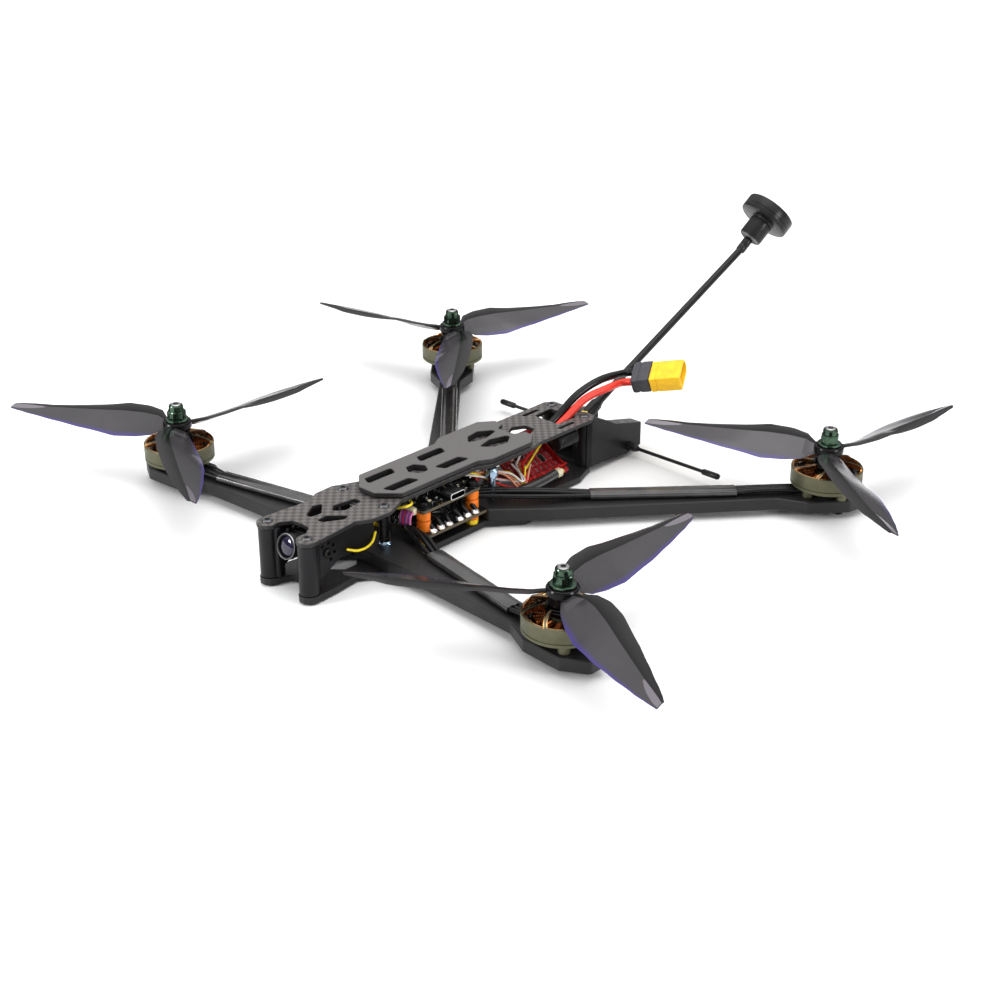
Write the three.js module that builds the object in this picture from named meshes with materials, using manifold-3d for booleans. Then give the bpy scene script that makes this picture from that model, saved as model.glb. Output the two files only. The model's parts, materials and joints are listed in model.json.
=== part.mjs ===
// Quadcopter for first-person-view racing, with seven-inch three-bladed propellers.
// Millimetres. +Z is up, the nose points along -Y, and the drone's left side is +X.
// The origin is midway between the four motors, on the underside of the bottom plate.

import * as THREE from 'three';
import { mergeVertices } from 'three/addons/utils/BufferGeometryUtils.js';
import Module from 'manifold-3d';

const wasm = await Module();
wasm.setup();

// ---- driving dimensions ----

const MOTOR_X = 120.7;
const MOTOR_Y = 93;
const PROP_RADIUS = 88.9;

// Heights of the plate stack, from the underside of the bottom plate.
const BOTTOM_TOP = 3;
const ARM_TOP = 9;
const TOP_UNDER = 26.5;
const TOP_TOP = 28.5;
const PAD_TOP = 29.5;
const DECK_TOP = 31.5;

const TAIL_Y = 54.5;
const PILLAR_X = 12.5;
const PILLAR_Y = -128.8;
const PILLAR_RADIUS = 4.3;
const FRONT_BOLT = [13, -85.5];
const REAR_BOLT = [12, -17];
const REAR_COLUMN = [10.5, 50];

const SCREW_RADIUS = 1.5;
const SCREW_HOLE = 1.8;
const HEAD_RADIUS = 2.8;
const COLUMN_RADIUS = 2.8;
const NUT_RADIUS = 3.1;
const NUT_HEIGHT = 3.4;

const ARM_HALF_WIDTH = 6.3;
const PAD_HALF_WIDTH = 11.5;
const FRONT_SCREW_TURN = 45;
const REAR_SCREW_TURN = 75;

const STACK_Y = -49;
const STACK_HALF = 15.25;
const ESC_UNDER = 8.6;
const FC_UNDER = 19.6;
const BOARD = 1.6;

const SHAFT_RADIUS = 2.5;
const BELL_RADIUS = 16.5;
const BELL_INNER = 13.7;
const STATOR_RADIUS = 13.1;
const MOTOR_BORE = 3.3;
const BELL_UNDER = ARM_TOP + 3.2;
const BELL_TOP = ARM_TOP + 14.5;
const HUB_UNDER = ARM_TOP + 15.7;
const HUB_TOP = ARM_TOP + 23.9;
const HUB_BORE = 2.9;
const SHAFT_TOP = ARM_TOP + 32;
const BLADE_HEIGHT = ARM_TOP + 20.9;
const BLADE_PITCH = 112;

const CAMERA_PIVOT = [0, -118, 18];
const CAMERA_TILT = 15;

const ANTENNA_BASE = [0, 66.5, 23.2];
const ANTENNA_RISE = 24.6;
const STALK_LENGTH = 134;
const FERRULE_LENGTH = 7;
const HEAD_RISE = 43;
const HEAD_YAW = -14;
const AERIAL_Y = 79;
const AERIAL_Z = 5.2;
const AERIAL_REACH = 71;

const PLUG_ROOT = [14, 83, 40.2];
const PLUG_YAW = 25;
const PLUG_RISE = 11.5;
const PLUG_ROLL = 20;
const PLUG_LENGTH = 25;
const PIN_OFFSET = 3.6;
const PIN_RADIUS = 1.75;
const LEAD_RADIUS = 1.9;

// ---- materials ----

function material(color, roughness, metalness) {
  return new THREE.MeshStandardMaterial({ color, roughness, metalness });
}

const carbon = () => material(0x2b2a2c, 0.45, 0.1);
const blackPlastic = () => material(0x1b1b1d, 0.6, 0);
const blueSteel = () => material(0x9fb8c9, 0.3, 0.9);
const boardBlack = () => material(0x17181a, 0.5, 0.1);

// ---- solids ----

// Turns a closed three.js geometry into a manifold solid with outward faces.
function solid(geometry) {
  const bare = geometry.clone();
  bare.deleteAttribute('normal');
  bare.deleteAttribute('uv');
  const merged = mergeVertices(bare, 1e-4);
  const positions = merged.getAttribute('position').array;
  const triangles = keepProperTriangles(merged.getIndex().array);
  if (signedVolume(positions, triangles) < 0) flip(triangles);
  const mesh = new wasm.Mesh({
    numProp: 3,
    vertProperties: new Float32Array(positions),
    triVerts: new Uint32Array(triangles),
  });
  return new wasm.Manifold(mesh);
}

function keepProperTriangles(index) {
  const kept = [];
  for (let i = 0; i < index.length; i += 3) {
    const [a, b, c] = [index[i], index[i + 1], index[i + 2]];
    if (a !== b && b !== c && c !== a) kept.push(a, b, c);
  }
  return kept;
}

function signedVolume(p, triangles) {
  const a = new THREE.Vector3();
  const b = new THREE.Vector3();
  const c = new THREE.Vector3();
  let total = 0;
  for (let i = 0; i < triangles.length; i += 3) {
    a.fromArray(p, 3 * triangles[i]);
    b.fromArray(p, 3 * triangles[i + 1]);
    c.fromArray(p, 3 * triangles[i + 2]);
    total += a.dot(b.cross(c));
  }
  return total;
}

function flip(triangles) {
  for (let i = 0; i < triangles.length; i += 3) {
    [triangles[i + 1], triangles[i + 2]] = [triangles[i + 2], triangles[i + 1]];
  }
}

function named(name, body, look) {
  const mesh = body.getMesh();
  const geometry = new THREE.BufferGeometry();
  geometry.setAttribute('position', new THREE.BufferAttribute(new Float32Array(mesh.vertProperties), 3));
  geometry.setIndex(new THREE.BufferAttribute(new Uint32Array(mesh.triVerts), 1));
  geometry.computeVertexNormals();
  const result = new THREE.Mesh(geometry, look);
  result.name = name;
  return result;
}

const union = (...bodies) => bodies.reduce((sum, next) => sum.add(next));
const cut = (body, ...tools) => tools.reduce((rest, tool) => rest.subtract(tool), body);

function polygon(points) {
  return new THREE.Shape(points.map(([x, y]) => new THREE.Vector2(x, y)));
}

// A flat outline raised from one height to another.
function prism(shape, from, to, curveSegments = 8) {
  const geometry = new THREE.ExtrudeGeometry(shape, { depth: to - from, bevelEnabled: false, curveSegments });
  geometry.translate(0, 0, from);
  return solid(geometry);
}

// A profile of [y, z] points given a width along X.
function sideProfile(points, fromX, toX) {
  const geometry = new THREE.ExtrudeGeometry(polygon(points), { depth: toX - fromX, bevelEnabled: false });
  geometry.rotateY(Math.PI / 2);
  geometry.rotateX(Math.PI / 2);
  geometry.translate(fromX, 0, 0);
  return solid(geometry);
}

// A profile of [radius, height] points turned about the Z axis.
function turned(points, segments = 10) {
  const profile = points.map(([r, z]) => new THREE.Vector2(r, z));
  const geometry = new THREE.LatheGeometry(profile, segments);
  geometry.rotateX(Math.PI / 2);
  return solid(geometry);
}

// The same with a bore through it, so that the profile closes on itself.
const bored = (points, segments) => turned([...points, points[0]], segments);

function rod(x, y, radius, from, to, segments = 8) {
  return turned([[0, from], [radius, from], [radius, to], [0, to]], segments).translate([x, y, 0]);
}

function block(x0, x1, y0, y1, z0, z1) {
  const geometry = new THREE.BoxGeometry(x1 - x0, y1 - y0, z1 - z0);
  geometry.translate((x0 + x1) / 2, (y0 + y1) / 2, (z0 + z1) / 2);
  return solid(geometry);
}

function tube(points, radius, steps, segments = 8) {
  const circle = new THREE.Shape().absarc(0, 0, radius, 0, 2 * Math.PI);
  const extrudePath = new THREE.CatmullRomCurve3(points.map((p) => new THREE.Vector3(...p)));
  return solid(new THREE.ExtrudeGeometry(circle, { steps, extrudePath, curveSegments: segments / 2 }));
}

// ---- plates ----

// A plate that is the same on both sides of x = 0, from the outline of its left half.
function mirrored(half) {
  const right = half.filter(([x]) => x > 0).reverse().map(([x, y]) => [-x, y]);
  return polygon([...half, ...right]);
}

// The round lobe of a plate around a nose pillar, from its inside to its outside.
function pillarLobe(radius) {
  const lobe = [];
  for (let angle = 190; angle <= 350; angle += 32) {
    const turn = THREE.MathUtils.degToRad(angle);
    lobe.push([PILLAR_X + radius * Math.cos(turn), PILLAR_Y + radius * Math.sin(turn)]);
  }
  return lobe;
}

function bothSides(make) {
  return [make(1), make(-1)];
}

// A hole with a cone under it for a countersunk head.
function countersunk(x, y) {
  const profile = [[0, -1], [HEAD_RADIUS + 1.4, -1], [SCREW_HOLE, 1.6], [SCREW_HOLE, 4], [0, 4]];
  return turned(profile, 8).translate([x, y, 0]);
}

const stackPlaces = [];
for (const side of [1, -1]) {
  for (const end of [-1, 1]) stackPlaces.push([side * STACK_HALF, STACK_Y + end * STACK_HALF]);
}

// Narrow beside the electronics, with a short wing under the root of each rear arm.
function bottomPlate() {
  const outline = mirrored([
    [0, -121.5], [6, -123], ...pillarLobe(4.7), [16.6, -117], [15, -104], [22, -94], [22, -76],
    [18.8, -66], [18.8, -28.4], [30.5, -14.5], [31, -11], [20, -4],
    [17, 2], [19, 30], [19, 38], [16.6, 44], [14.6, 50], [11, TAIL_Y], [0, TAIL_Y],
  ]);
  const holes = [[PILLAR_X, PILLAR_Y], FRONT_BOLT, REAR_BOLT, REAR_COLUMN];
  const sunk = holes.flatMap(([x, y]) => bothSides((side) => countersunk(side * x, y)));
  sunk.push(...stackPlaces.map(([x, y]) => countersunk(x, y)));
  const slots = bothSides((side) => prism(
    polygon([[side * 5, -4], [side * 12, 2], [side * 12, 34], [side * 5, 40]]), -1, 4));
  const noseSlot = prism(polygon([[0, -110], [7, -104], [7, -97], [0, -91], [-7, -97], [-7, -104]]), -1, 4);
  return cut(prism(outline, 0, BOTTOM_TOP), ...sunk, ...slots, noseSlot);
}

function topPlate() {
  const outline = mirrored([
    [0, -120.6], [5, -121.2], [8.2, -126], ...pillarLobe(4.8), [16.2, -117], [14.7, -103.6],
    [18.4, -97], [18.9, -87], [13.6, -75], [13.6, -28], [17, -22], [17, 6], [15.6, 12],
    [15.6, 40], [15.8, 50], [13, TAIL_Y], [7, TAIL_Y], [5.5, 52.5], [0, 52.5],
  ]);
  const holes = [[PILLAR_X, PILLAR_Y], FRONT_BOLT, REAR_COLUMN];
  const drilled = holes.flatMap(([x, y]) => bothSides(
    (side) => rod(side * x, y, SCREW_HOLE, TOP_UNDER - 1, TOP_TOP + 1)));
  return cut(prism(outline, TOP_UNDER, TOP_TOP), ...drilled, ...topPlateWindows());
}

// Three windows behind the nose in a Y, the hexagon behind the battery plate,
// the outlet for the battery leads and two strap slots beside it.
function topPlateWindows() {
  const through = (points) => prism(polygon(points), TOP_UNDER - 1, TOP_TOP + 1);
  const wings = bothSides((side) => through([
    [side * 9.8, -106], [side * 8.6, -101.6], [side * 1.6, -108.4], [side * 2.2, -114.2], [side * 5, -113.6],
  ]));
  return [
    ...wings,
    through([[-3.6, -99.5], [0, -103.6], [3.6, -99.5], [2, -88.6], [-2, -88.6]]),
    through([[-6, 16], [-3, 10.5], [3, 10.5], [6, 16], [3, 22], [-3, 22]]),
    through([[-7.4, 34], [7.4, 34], [8, 46.4], [-8, 46.4]]),
    ...bothSides((side) => through([
      [side * 10.4, 30], [side * 12.4, 30], [side * 12.4, 41], [side * 10.4, 41],
    ])),
  ];
}

function deckOutline(inset) {
  return mirrored([
    [0, -83.6 + inset], [4.75 - inset / 2, -83.6 + inset], [13.9 - inset, -75.2 + inset / 2],
    [13.9 - inset, -28], [17.4 - inset, -22], [17.4 - inset, 4], [12, 11 - inset],
    [7, 11 - inset], [5, 5.5 - inset], [0, 5.5 - inset],
  ]);
}

// The openings of the battery plate. The same ones go through the rubber pad under it.
function deckWindows(from, to) {
  const through = (points) => prism(polygon(points), from - 1, to + 1);
  const slot = (side, y0, y1) => through([
    [side * 4.2, y0], [side * 9.2, y0 + 2.5], [side * 9.2, y1], [side * 4.2, y1 - 2.5],
  ]);
  return [
    ...bothSides((side) => slot(side, -78.5, -60)),
    ...bothSides((side) => slot(side, -46.5, -28.5)),
    through([[0, -58], [4.6, -55.2], [4.6, -50.6], [0, -47.8], [-4.6, -50.6], [-4.6, -55.2]]),
    ...bothSides((side) => through([
      [side * 1.1, -7], [side * 3.4, -16.4], [side * 8.4, -11.4], [side * 9.6, -4],
      [side * 5.6, 2], [side * 3.6, 2],
    ])),
  ];
}

const batteryPlate = () => cut(prism(deckOutline(0), PAD_TOP, DECK_TOP), ...deckWindows(PAD_TOP, DECK_TOP));
const batteryPad = () => cut(prism(deckOutline(0.8), TOP_TOP, PAD_TOP), ...deckWindows(TOP_TOP, PAD_TOP));

// ---- arms ----

// The outline of an arm runs from its motor pad to its root beside x = 0.
function frontArm(side) {
  const slope = 8.7 / MOTOR_X;
  const centre = (x) => -MOTOR_Y + (MOTOR_X - x) * slope;
  const edge = (x, offset) => [x, centre(x) + offset];
  const outline = polygon([
    [0.3, -94], [24, -94.4], edge(38, -ARM_HALF_WIDTH - 0.6), edge(MOTOR_X - 24, -ARM_HALF_WIDTH + 0.7),
    edge(MOTOR_X - 11, -PAD_HALF_WIDTH), edge(MOTOR_X + 9, -PAD_HALF_WIDTH), edge(MOTOR_X + 20, -4.5),
    edge(MOTOR_X + 20, 4.5), edge(MOTOR_X + 9, PAD_HALF_WIDTH), edge(MOTOR_X - 11, PAD_HALF_WIDTH),
    edge(MOTOR_X - 24, ARM_HALF_WIDTH - 0.7), edge(38, ARM_HALF_WIDTH + 0.6), [24, -77], [0.3, -76],
  ]);
  return finishArm(outline, -MOTOR_Y, FRONT_SCREW_TURN, FRONT_BOLT, side);
}

function rearArm(side) {
  const heading = new THREE.Vector2(32 - MOTOR_X, -7 - MOTOR_Y).normalize();
  const at = (along, across) => [
    MOTOR_X + heading.x * along - heading.y * across,
    MOTOR_Y + heading.y * along + heading.x * across,
  ];
  const outline = polygon([
    [0.3, -28], [20, -28], at(128, ARM_HALF_WIDTH + 0.4), at(24, ARM_HALF_WIDTH - 0.7),
    at(11, PAD_HALF_WIDTH),
    at(-9, PAD_HALF_WIDTH), at(-20, 4.5), at(-20, -4.5), at(-9, -PAD_HALF_WIDTH), at(11, -PAD_HALF_WIDTH),
    at(24, -ARM_HALF_WIDTH + 0.7), at(128, -ARM_HALF_WIDTH - 0.4), [19, -8], [0.3, -8],
  ]);
  return finishArm(outline, MOTOR_Y, REAR_SCREW_TURN, REAR_BOLT, side);
}

// Raises the outline, drills the bolt and motor holes and puts the arm on its side.
function finishArm(outline, motorY, screwTurn, bolt, side) {
  const from = BOTTOM_TOP;
  const motorScrews = [0, 90, 180, 270].map((angle) => {
    const turn = THREE.MathUtils.degToRad(angle + screwTurn);
    return rod(MOTOR_X + 9.5 * Math.cos(turn), motorY + 9.5 * Math.sin(turn), 1.7, from - 1, ARM_TOP + 1, 8);
  });
  const body = cut(
    prism(outline, from, ARM_TOP),
    rod(bolt[0], bolt[1], SCREW_HOLE, from - 1, ARM_TOP + 1),
    rod(MOTOR_X, motorY, 4, from - 1, ARM_TOP + 1),
    ...motorScrews,
  );
  return side > 0 ? body : body.mirror([1, 0, 0]);
}

// Heat-shrink over the three motor wires, on top of the arm.
function sleeve(front, side) {
  const ends = front ? [[93, -90], [36.5, -78.8]] : [[92, 62], [45.8, 12.8]];
  const width = 4.1;
  const section = polygon([
    [-width, 0], [width, 0], [width, 2.2], [width - 1, 3.6], [-width + 1, 3.6], [-width, 2.2],
  ]);
  const [outer, inner] = ends.map(([x, y]) => new THREE.Vector2(x, y));
  const run = inner.clone().sub(outer);
  const geometry = new THREE.ExtrudeGeometry(section, { depth: run.length(), bevelEnabled: false });
  geometry.rotateX(Math.PI / 2);
  geometry.rotateZ(run.angle() + Math.PI / 2);
  geometry.translate(outer.x, outer.y, ARM_TOP + 0.4);
  const body = solid(geometry);
  return side > 0 ? body : body.mirror([1, 0, 0]);
}

// ---- fasteners ----

const sunkHead = [[0, 0], [HEAD_RADIUS, 0], [SCREW_RADIUS, 1.4]];

// Countersunk bolt up through the bottom plate and the arm, with its nut.
function armBolt(nutFrom, nutTo, top, place, side) {
  const nutTools = nutTo < top ? [[SCREW_RADIUS, nutTo], [SCREW_RADIUS, top]] : [];
  const shank = turned([...sunkHead, [SCREW_RADIUS, nutFrom + 0.2], ...nutTools.slice(1), [0, top]], 12);
  const nut = turned([[0, nutFrom], [NUT_RADIUS, nutFrom], [NUT_RADIUS, nutTo], [0, nutTo]], 6);
  return union(shank, nut).translate([side * place[0], place[1], 0]);
}

const FRONT_NUT_TOP = ARM_TOP + NUT_HEIGHT;
const frontBolt = (side) => armBolt(ARM_TOP, FRONT_NUT_TOP, FRONT_NUT_TOP, FRONT_BOLT, side);
const rearBolt = (side) => armBolt(19.4, 23, 24, REAR_BOLT, side);

const columnTop = [
  [COLUMN_RADIUS, TOP_UNDER], [SCREW_RADIUS, TOP_UNDER], [SCREW_RADIUS, TOP_TOP],
  [HEAD_RADIUS, TOP_TOP], [HEAD_RADIUS - 0.5, TOP_TOP + 1.1], [0, TOP_TOP + 1.1],
];

function frontColumn(side) {
  const column = turned([[0, FRONT_NUT_TOP], [COLUMN_RADIUS, FRONT_NUT_TOP], ...columnTop]);
  return column.translate([side * FRONT_BOLT[0], FRONT_BOLT[1], 0]);
}

function rearColumn(side) {
  const foot = [...sunkHead, [SCREW_RADIUS, BOTTOM_TOP], [COLUMN_RADIUS, BOTTOM_TOP]];
  return turned([...foot, ...columnTop]).translate([side * REAR_COLUMN[0], REAR_COLUMN[1], 0]);
}

// ---- camera bay ----

// Printed nose pillar with its side plate, pierced by the tilt holes of the camera.
function cameraSide(side) {
  const pillar = rod(PILLAR_X, PILLAR_Y, PILLAR_RADIUS, BOTTOM_TOP, TOP_UNDER, 20);
  const wall = sideProfile([
    [PILLAR_Y, BOTTOM_TOP], [-125.2, BOTTOM_TOP], [-124, 5.5], [-111, 12.6], [-94, 12.6], [-91, 15],
    [-91, TOP_UNDER], [PILLAR_Y, TOP_UNDER],
  ], 10, 12.2);
  const screw = rod(PILLAR_X, PILLAR_Y, SCREW_HOLE, BOTTOM_TOP - 1, TOP_UNDER + 1, 8);
  const body = cut(union(pillar, wall), screw, ...tiltHoles());
  return side > 0 ? body : body.mirror([1, 0, 0]);
}

// The pivot hole and an arc of holes for the tilt screw.
function tiltHoles() {
  const sideways = (y, z, radius) => rod(0, 0, radius, 8, 20, 8).rotate([0, 90, 0]).translate([0, y, z]);
  const [, pivotY, pivotZ] = CAMERA_PIVOT;
  const arc = [-60, -15, 30, 75, 120].map((angle) => {
    const turn = THREE.MathUtils.degToRad(angle);
    return sideways(pivotY + 4.4 * Math.cos(turn), pivotZ + 4.4 * Math.sin(turn), 0.9);
  });
  return [sideways(pivotY, pivotZ, 1.2), ...arc];
}

// The camera is drawn looking along +Z and then turned to face the nose.
function cameraHousing() {
  const body = block(-7, 7, -5.5, 5.5, -5.5, 4.6);
  const barrel = turned([
    [0, 4.4], [5.2, 4.4], [5.2, 9.6], [5.75, 9.8], [5.75, 12.4], [4.7, 12.4], [4.7, 10.4], [0, 10.4],
  ], 24);
  const trunnion = rod(0, 0, 2.2, -9.7, 9.7).rotate([0, 90, 0]);
  return union(body, barrel, trunnion);
}

const cameraLens = () => turned([[0, 10.7], [4.4, 10.7], [4.4, 11.4], [3, 12.1], [0, 12.5]], 24);

// ---- electronics ----

function stackPost([x, y]) {
  const neck = 1.5;
  const profile = [
    ...sunkHead, [neck, BOTTOM_TOP], [3.3, BOTTOM_TOP], [3.3, ESC_UNDER], [neck, ESC_UNDER],
    [neck, ESC_UNDER + BOARD], [3.3, ESC_UNDER + BOARD], [3.3, FC_UNDER], [neck, FC_UNDER],
    [neck, FC_UNDER + BOARD], [2.9, FC_UNDER + BOARD], [2.9, FC_UNDER + BOARD + 3], [0, FC_UNDER + BOARD + 3],
  ];
  return turned(profile, 10).translate([x, y, 0]);
}

function circuitBoard(halfX, halfY, under) {
  const body = block(-halfX, halfX, STACK_Y - halfY, STACK_Y + halfY, under, under + BOARD);
  return cut(body, ...stackPlaces.map(([x, y]) => rod(x, y, SCREW_HOLE, under - 1, under + BOARD + 1, 8)));
}

// Speed controller board with its two rows of power transistors.
function speedController() {
  const top = ESC_UNDER + BOARD;
  const row = block(4, 11, STACK_Y - 15, STACK_Y + 15, top - 0.1, top + 1.2);
  const rows = [row, row.mirror([1, 0, 0])];
  return union(circuitBoard(21, 20, ESC_UNDER), ...rows);
}

// Flight controller board with its processor and the USB socket on the left edge.
function flightController() {
  const top = FC_UNDER + BOARD;
  const chip = block(-5, 5, STACK_Y - 5, STACK_Y + 5, top - 0.1, top + 1.1);
  const socket = block(12.3, 19.6, STACK_Y - 2.5, STACK_Y + 6.5, top - 0.1, top + 3.1);
  return union(circuitBoard(18.5, 18.5, FC_UNDER), chip, socket);
}

// Video transmitter with a finned sink on its back, drawn flat and then leant against the bay.
function videoTransmitter() {
  const fins = [];
  for (let y = -13; y <= 13; y += 3.25) fins.push(block(-13, 13, y - 0.5, y + 0.5, 2.3, 5.2));
  return union(block(-15, 15, -16, 16, 0, 1.6), block(-14, 14, -14.5, 14.5, 1.5, 2.5), ...fins);
}

// ---- tail ----

// Printed block on the rear columns that holds the three antennas. Two wings run back from it,
// the left one longer.
function antennaMount() {
  const head = prism(polygon([
    [-14.4, 47.6], [14.4, 47.6], [15.6, 50], [15.6, 66.5], [-15.6, 66.5], [-15.6, 50],
  ]), 0, 30);
  const longWing = prism(polygon([[8.8, 60], [15.6, 60], [15.6, 88], [12.8, 91.5], [8.8, 91.5]]), 0, 30);
  const shortWing = prism(polygon([[-15.6, 60], [-8.8, 60], [-8.8, 84], [-14.2, 84], [-15.6, 82.6]]), 0, 30);
  const side = sideProfile([
    [44, 3.2], [57, 3.2], [78, 1.6], [86, 2.6], [92, 5], [92, 11.5], [88, 15.4], [68, 20.4], [61, 24.4],
    [57, 26.1], [44, 26.1],
  ], -20, 20);
  const collars = bothSides((s) => rod(s * REAR_COLUMN[0], REAR_COLUMN[1], 4.1, 3.2, 26.1, 16));
  const bores = bothSides((s) => rod(s * REAR_COLUMN[0], REAR_COLUMN[1], COLUMN_RADIUS + 0.35, 0, 30, 16));
  const pocket = block(-5.4, 5.4, 45, 62, 5, 30);
  const aerialHoles = rod(0, 0, 2.5, -30, 30).rotate([0, 90, 0]).translate([0, AERIAL_Y, AERIAL_Z]);
  const socket = alongAntenna(rod(0, 0, 3.7, -9, 30, 16));
  const body = union(head, longWing, shortWing).intersect(side);
  return cut(union(body, ...collars), ...bores, pocket, aerialHoles, socket);
}

// Puts a solid that stands on +Z onto the video antenna's line.
function alongAntenna(body) {
  return body.rotate([ANTENNA_RISE - 90, 0, 0]).translate(ANTENNA_BASE);
}

// Puts a solid that stands on +Z onto the end of the stalk, which bends up to meet the head.
function alongHead(body) {
  const rise = THREE.MathUtils.degToRad(ANTENNA_RISE);
  const [x, y, z] = ANTENNA_BASE;
  const end = [x, y + STALK_LENGTH * Math.cos(rise), z + STALK_LENGTH * Math.sin(rise)];
  return body.rotate([HEAD_RISE - 90, 0, 0]).rotate([0, 0, HEAD_YAW]).translate(end);
}

function antennaStalk() {
  const stalk = turned([
    [0, -8], [3.2, -8], [3.2, 6], [2.5, 7], [2.1, 9], [1.75, STALK_LENGTH], [0, STALK_LENGTH],
  ], 12);
  const ferrule = turned([[0, -1.5], [2.5, -1.5], [2.5, FERRULE_LENGTH], [0, FERRULE_LENGTH]], 12);
  return union(alongAntenna(stalk), alongHead(ferrule));
}

function antennaHead() {
  const neck = FERRULE_LENGTH + 0.3;
  const disc = neck + 11.5;
  const rim = disc + 8.2;
  return alongHead(turned([
    [0, neck], [5.6, neck], [6.3, neck + 0.8], [6.3, disc], [13, disc], [13.7, disc + 0.8],
    [13.7, rim - 0.8], [13, rim], [0, rim],
  ], 28));
}

function aerial(side) {
  const body = turned([
    [0, 7], [2.1, 7], [2.1, 20], [1.5, 21.5], [0.9, 21.8], [0.9, 61], [1.6, 62], [1.6, AERIAL_REACH - 1],
    [1, AERIAL_REACH], [0, AERIAL_REACH],
  ], 8);
  return body.rotate([0, side * 90, 0]).translate([0, AERIAL_Y, AERIAL_Z]);
}

// ---- battery lead ----

const [plugRoll, plugPitch, plugYaw] = [PLUG_ROLL, -PLUG_RISE, PLUG_YAW].map(THREE.MathUtils.degToRad);
const plugTurn = new THREE.Euler(plugRoll, plugPitch, plugYaw, 'ZYX');

// The plug is drawn pointing along +X, with its wide faces up and down.
function plugSection(halfY, halfZ, chamfer) {
  return [
    [-halfY, -halfZ], [halfY - chamfer, -halfZ], [halfY, -halfZ + chamfer],
    [halfY, halfZ - chamfer], [halfY - chamfer, halfZ], [-halfY, halfZ],
  ];
}

function alongX(section, from, to) {
  const geometry = new THREE.ExtrudeGeometry(polygon(section), { depth: to - from, bevelEnabled: false });
  geometry.rotateX(Math.PI / 2);
  geometry.rotateZ(Math.PI / 2);
  geometry.translate(from, 0, 0);
  return solid(geometry);
}

// A round solid along the plug, beside its middle.
function alongPlug(across, radius, from, to) {
  return rod(0, 0, radius, from, to, 10).rotate([0, 90, 0]).translate([0, across, 0]);
}

function plugBody() {
  const shell = alongX(plugSection(8, 4.1, 2.4), 9.5, PLUG_LENGTH);
  const mouth = alongX(plugSection(6.9, 3, 1.9), 14, PLUG_LENGTH + 2);
  const seats = [-PIN_OFFSET, PIN_OFFSET].map((across) => alongPlug(across, PIN_RADIUS + 0.35, 9.9, 15));
  return cut(shell, mouth, ...seats);
}

const plugPin = (across) => alongPlug(across, PIN_RADIUS, 10.3, 23.6);

const plugCap = () => alongX(plugSection(7.8, 4, 1.2), 0, 9.2);

function placePlug(mesh) {
  mesh.rotation.copy(plugTurn);
  mesh.position.set(...PLUG_ROOT);
  return mesh;
}

// A lead climbs out of the top plate and bends over to its end of the plug.
function lead(across) {
  const end = (along) => new THREE.Vector3(along, across, 0).applyEuler(plugTurn)
    .add(new THREE.Vector3(...PLUG_ROOT)).toArray();
  const blackPath = [
    [-1, -26.8, 12.6], [-1, -15, 20], [-0.5, 0, 22.8], [-0.5, 27, 22.6], [0.6, 39.5, 27], [3.4, 52, 36.6],
    [6.5, 66, 41.5],
  ];
  const redPath = [
    [5, -26.8, 12.6], [4.5, -15, 20], [4.2, 0, 22.8], [4.2, 27, 22.2], [4.6, 40.6, 26.8], [7.2, 54, 35.2],
    [10.8, 67, 38.2],
  ];
  const path = across > 0 ? blackPath : redPath;
  return tube([...path, end(-6), end(-0.4)], LEAD_RADIUS, 22, 6);
}

// ---- rotors ----

const rotorSpin = { front_left: 1, front_right: -1, rear_left: -1, rear_right: 1 };
const bladeAngle = { front_left: 91.9, front_right: 88.1, rear_left: 81.8, rear_right: 72.1 };

// Mounting base and wound stator, fixed to the arm.
function motorBase() {
  const [foot, stator, top] = [ARM_TOP + 2.1, ARM_TOP + 3.7, ARM_TOP + 10.9];
  return bored([
    [MOTOR_BORE, ARM_TOP], [12.5, ARM_TOP], [14.6, ARM_TOP + 0.8], [14.6, foot],
    [6, foot + 0.4], [6, stator],
    [STATOR_RADIUS, stator], [STATOR_RADIUS, top], [MOTOR_BORE, top],
  ], 20);
}

// Rotating can with its shaft. Windows between the spokes let air over the windings.
function motorBell() {
  const [foot, ceiling, shoulder] = [ARM_TOP + 0.6, BELL_TOP - 2.4, BELL_TOP - 1.6];
  const can = turned([
    [0, foot], [SHAFT_RADIUS, foot], [SHAFT_RADIUS, ceiling], [BELL_INNER, ceiling], [BELL_INNER, BELL_UNDER],
    [BELL_RADIUS, BELL_UNDER], [BELL_RADIUS, shoulder], [15, BELL_TOP - 0.2], [7.2, BELL_TOP],
    [6.8, HUB_UNDER], [SHAFT_RADIUS, HUB_UNDER], [SHAFT_RADIUS, SHAFT_TOP - 0.5],
    [2, SHAFT_TOP], [0, SHAFT_TOP],
  ], 24);
  const windows = [];
  for (let i = 0; i < 7; i += 1) {
    const sector = new THREE.Shape();
    sector.absarc(0, 0, 13, -0.33, 0.33, false);
    sector.absarc(0, 0, 7.4, 0.2, -0.2, true);
    windows.push(prism(sector, ceiling - 1, BELL_TOP + 1, 1).rotate([0, 0, i * 360 / 7]));
  }
  return cut(can, ...windows);
}

// Plan of a blade: leading and trailing edge offsets from the radius through its tip.
const bladeStations = [
  { r: 6, lead: 3.5, trail: -3.5 }, { r: 12, lead: 10, trail: -5.4 }, { r: 20, lead: 12, trail: -6.6 },
  { r: 32, lead: 12.2, trail: -7.6 }, { r: 48, lead: 10.9, trail: -7.2 }, { r: 62, lead: 9, trail: -5.4 },
  { r: 76, lead: 6.6, trail: -3 }, { r: 84, lead: 5.2, trail: -1.2 }, { r: PROP_RADIUS, lead: 4.4, trail: 0 },
];

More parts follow.
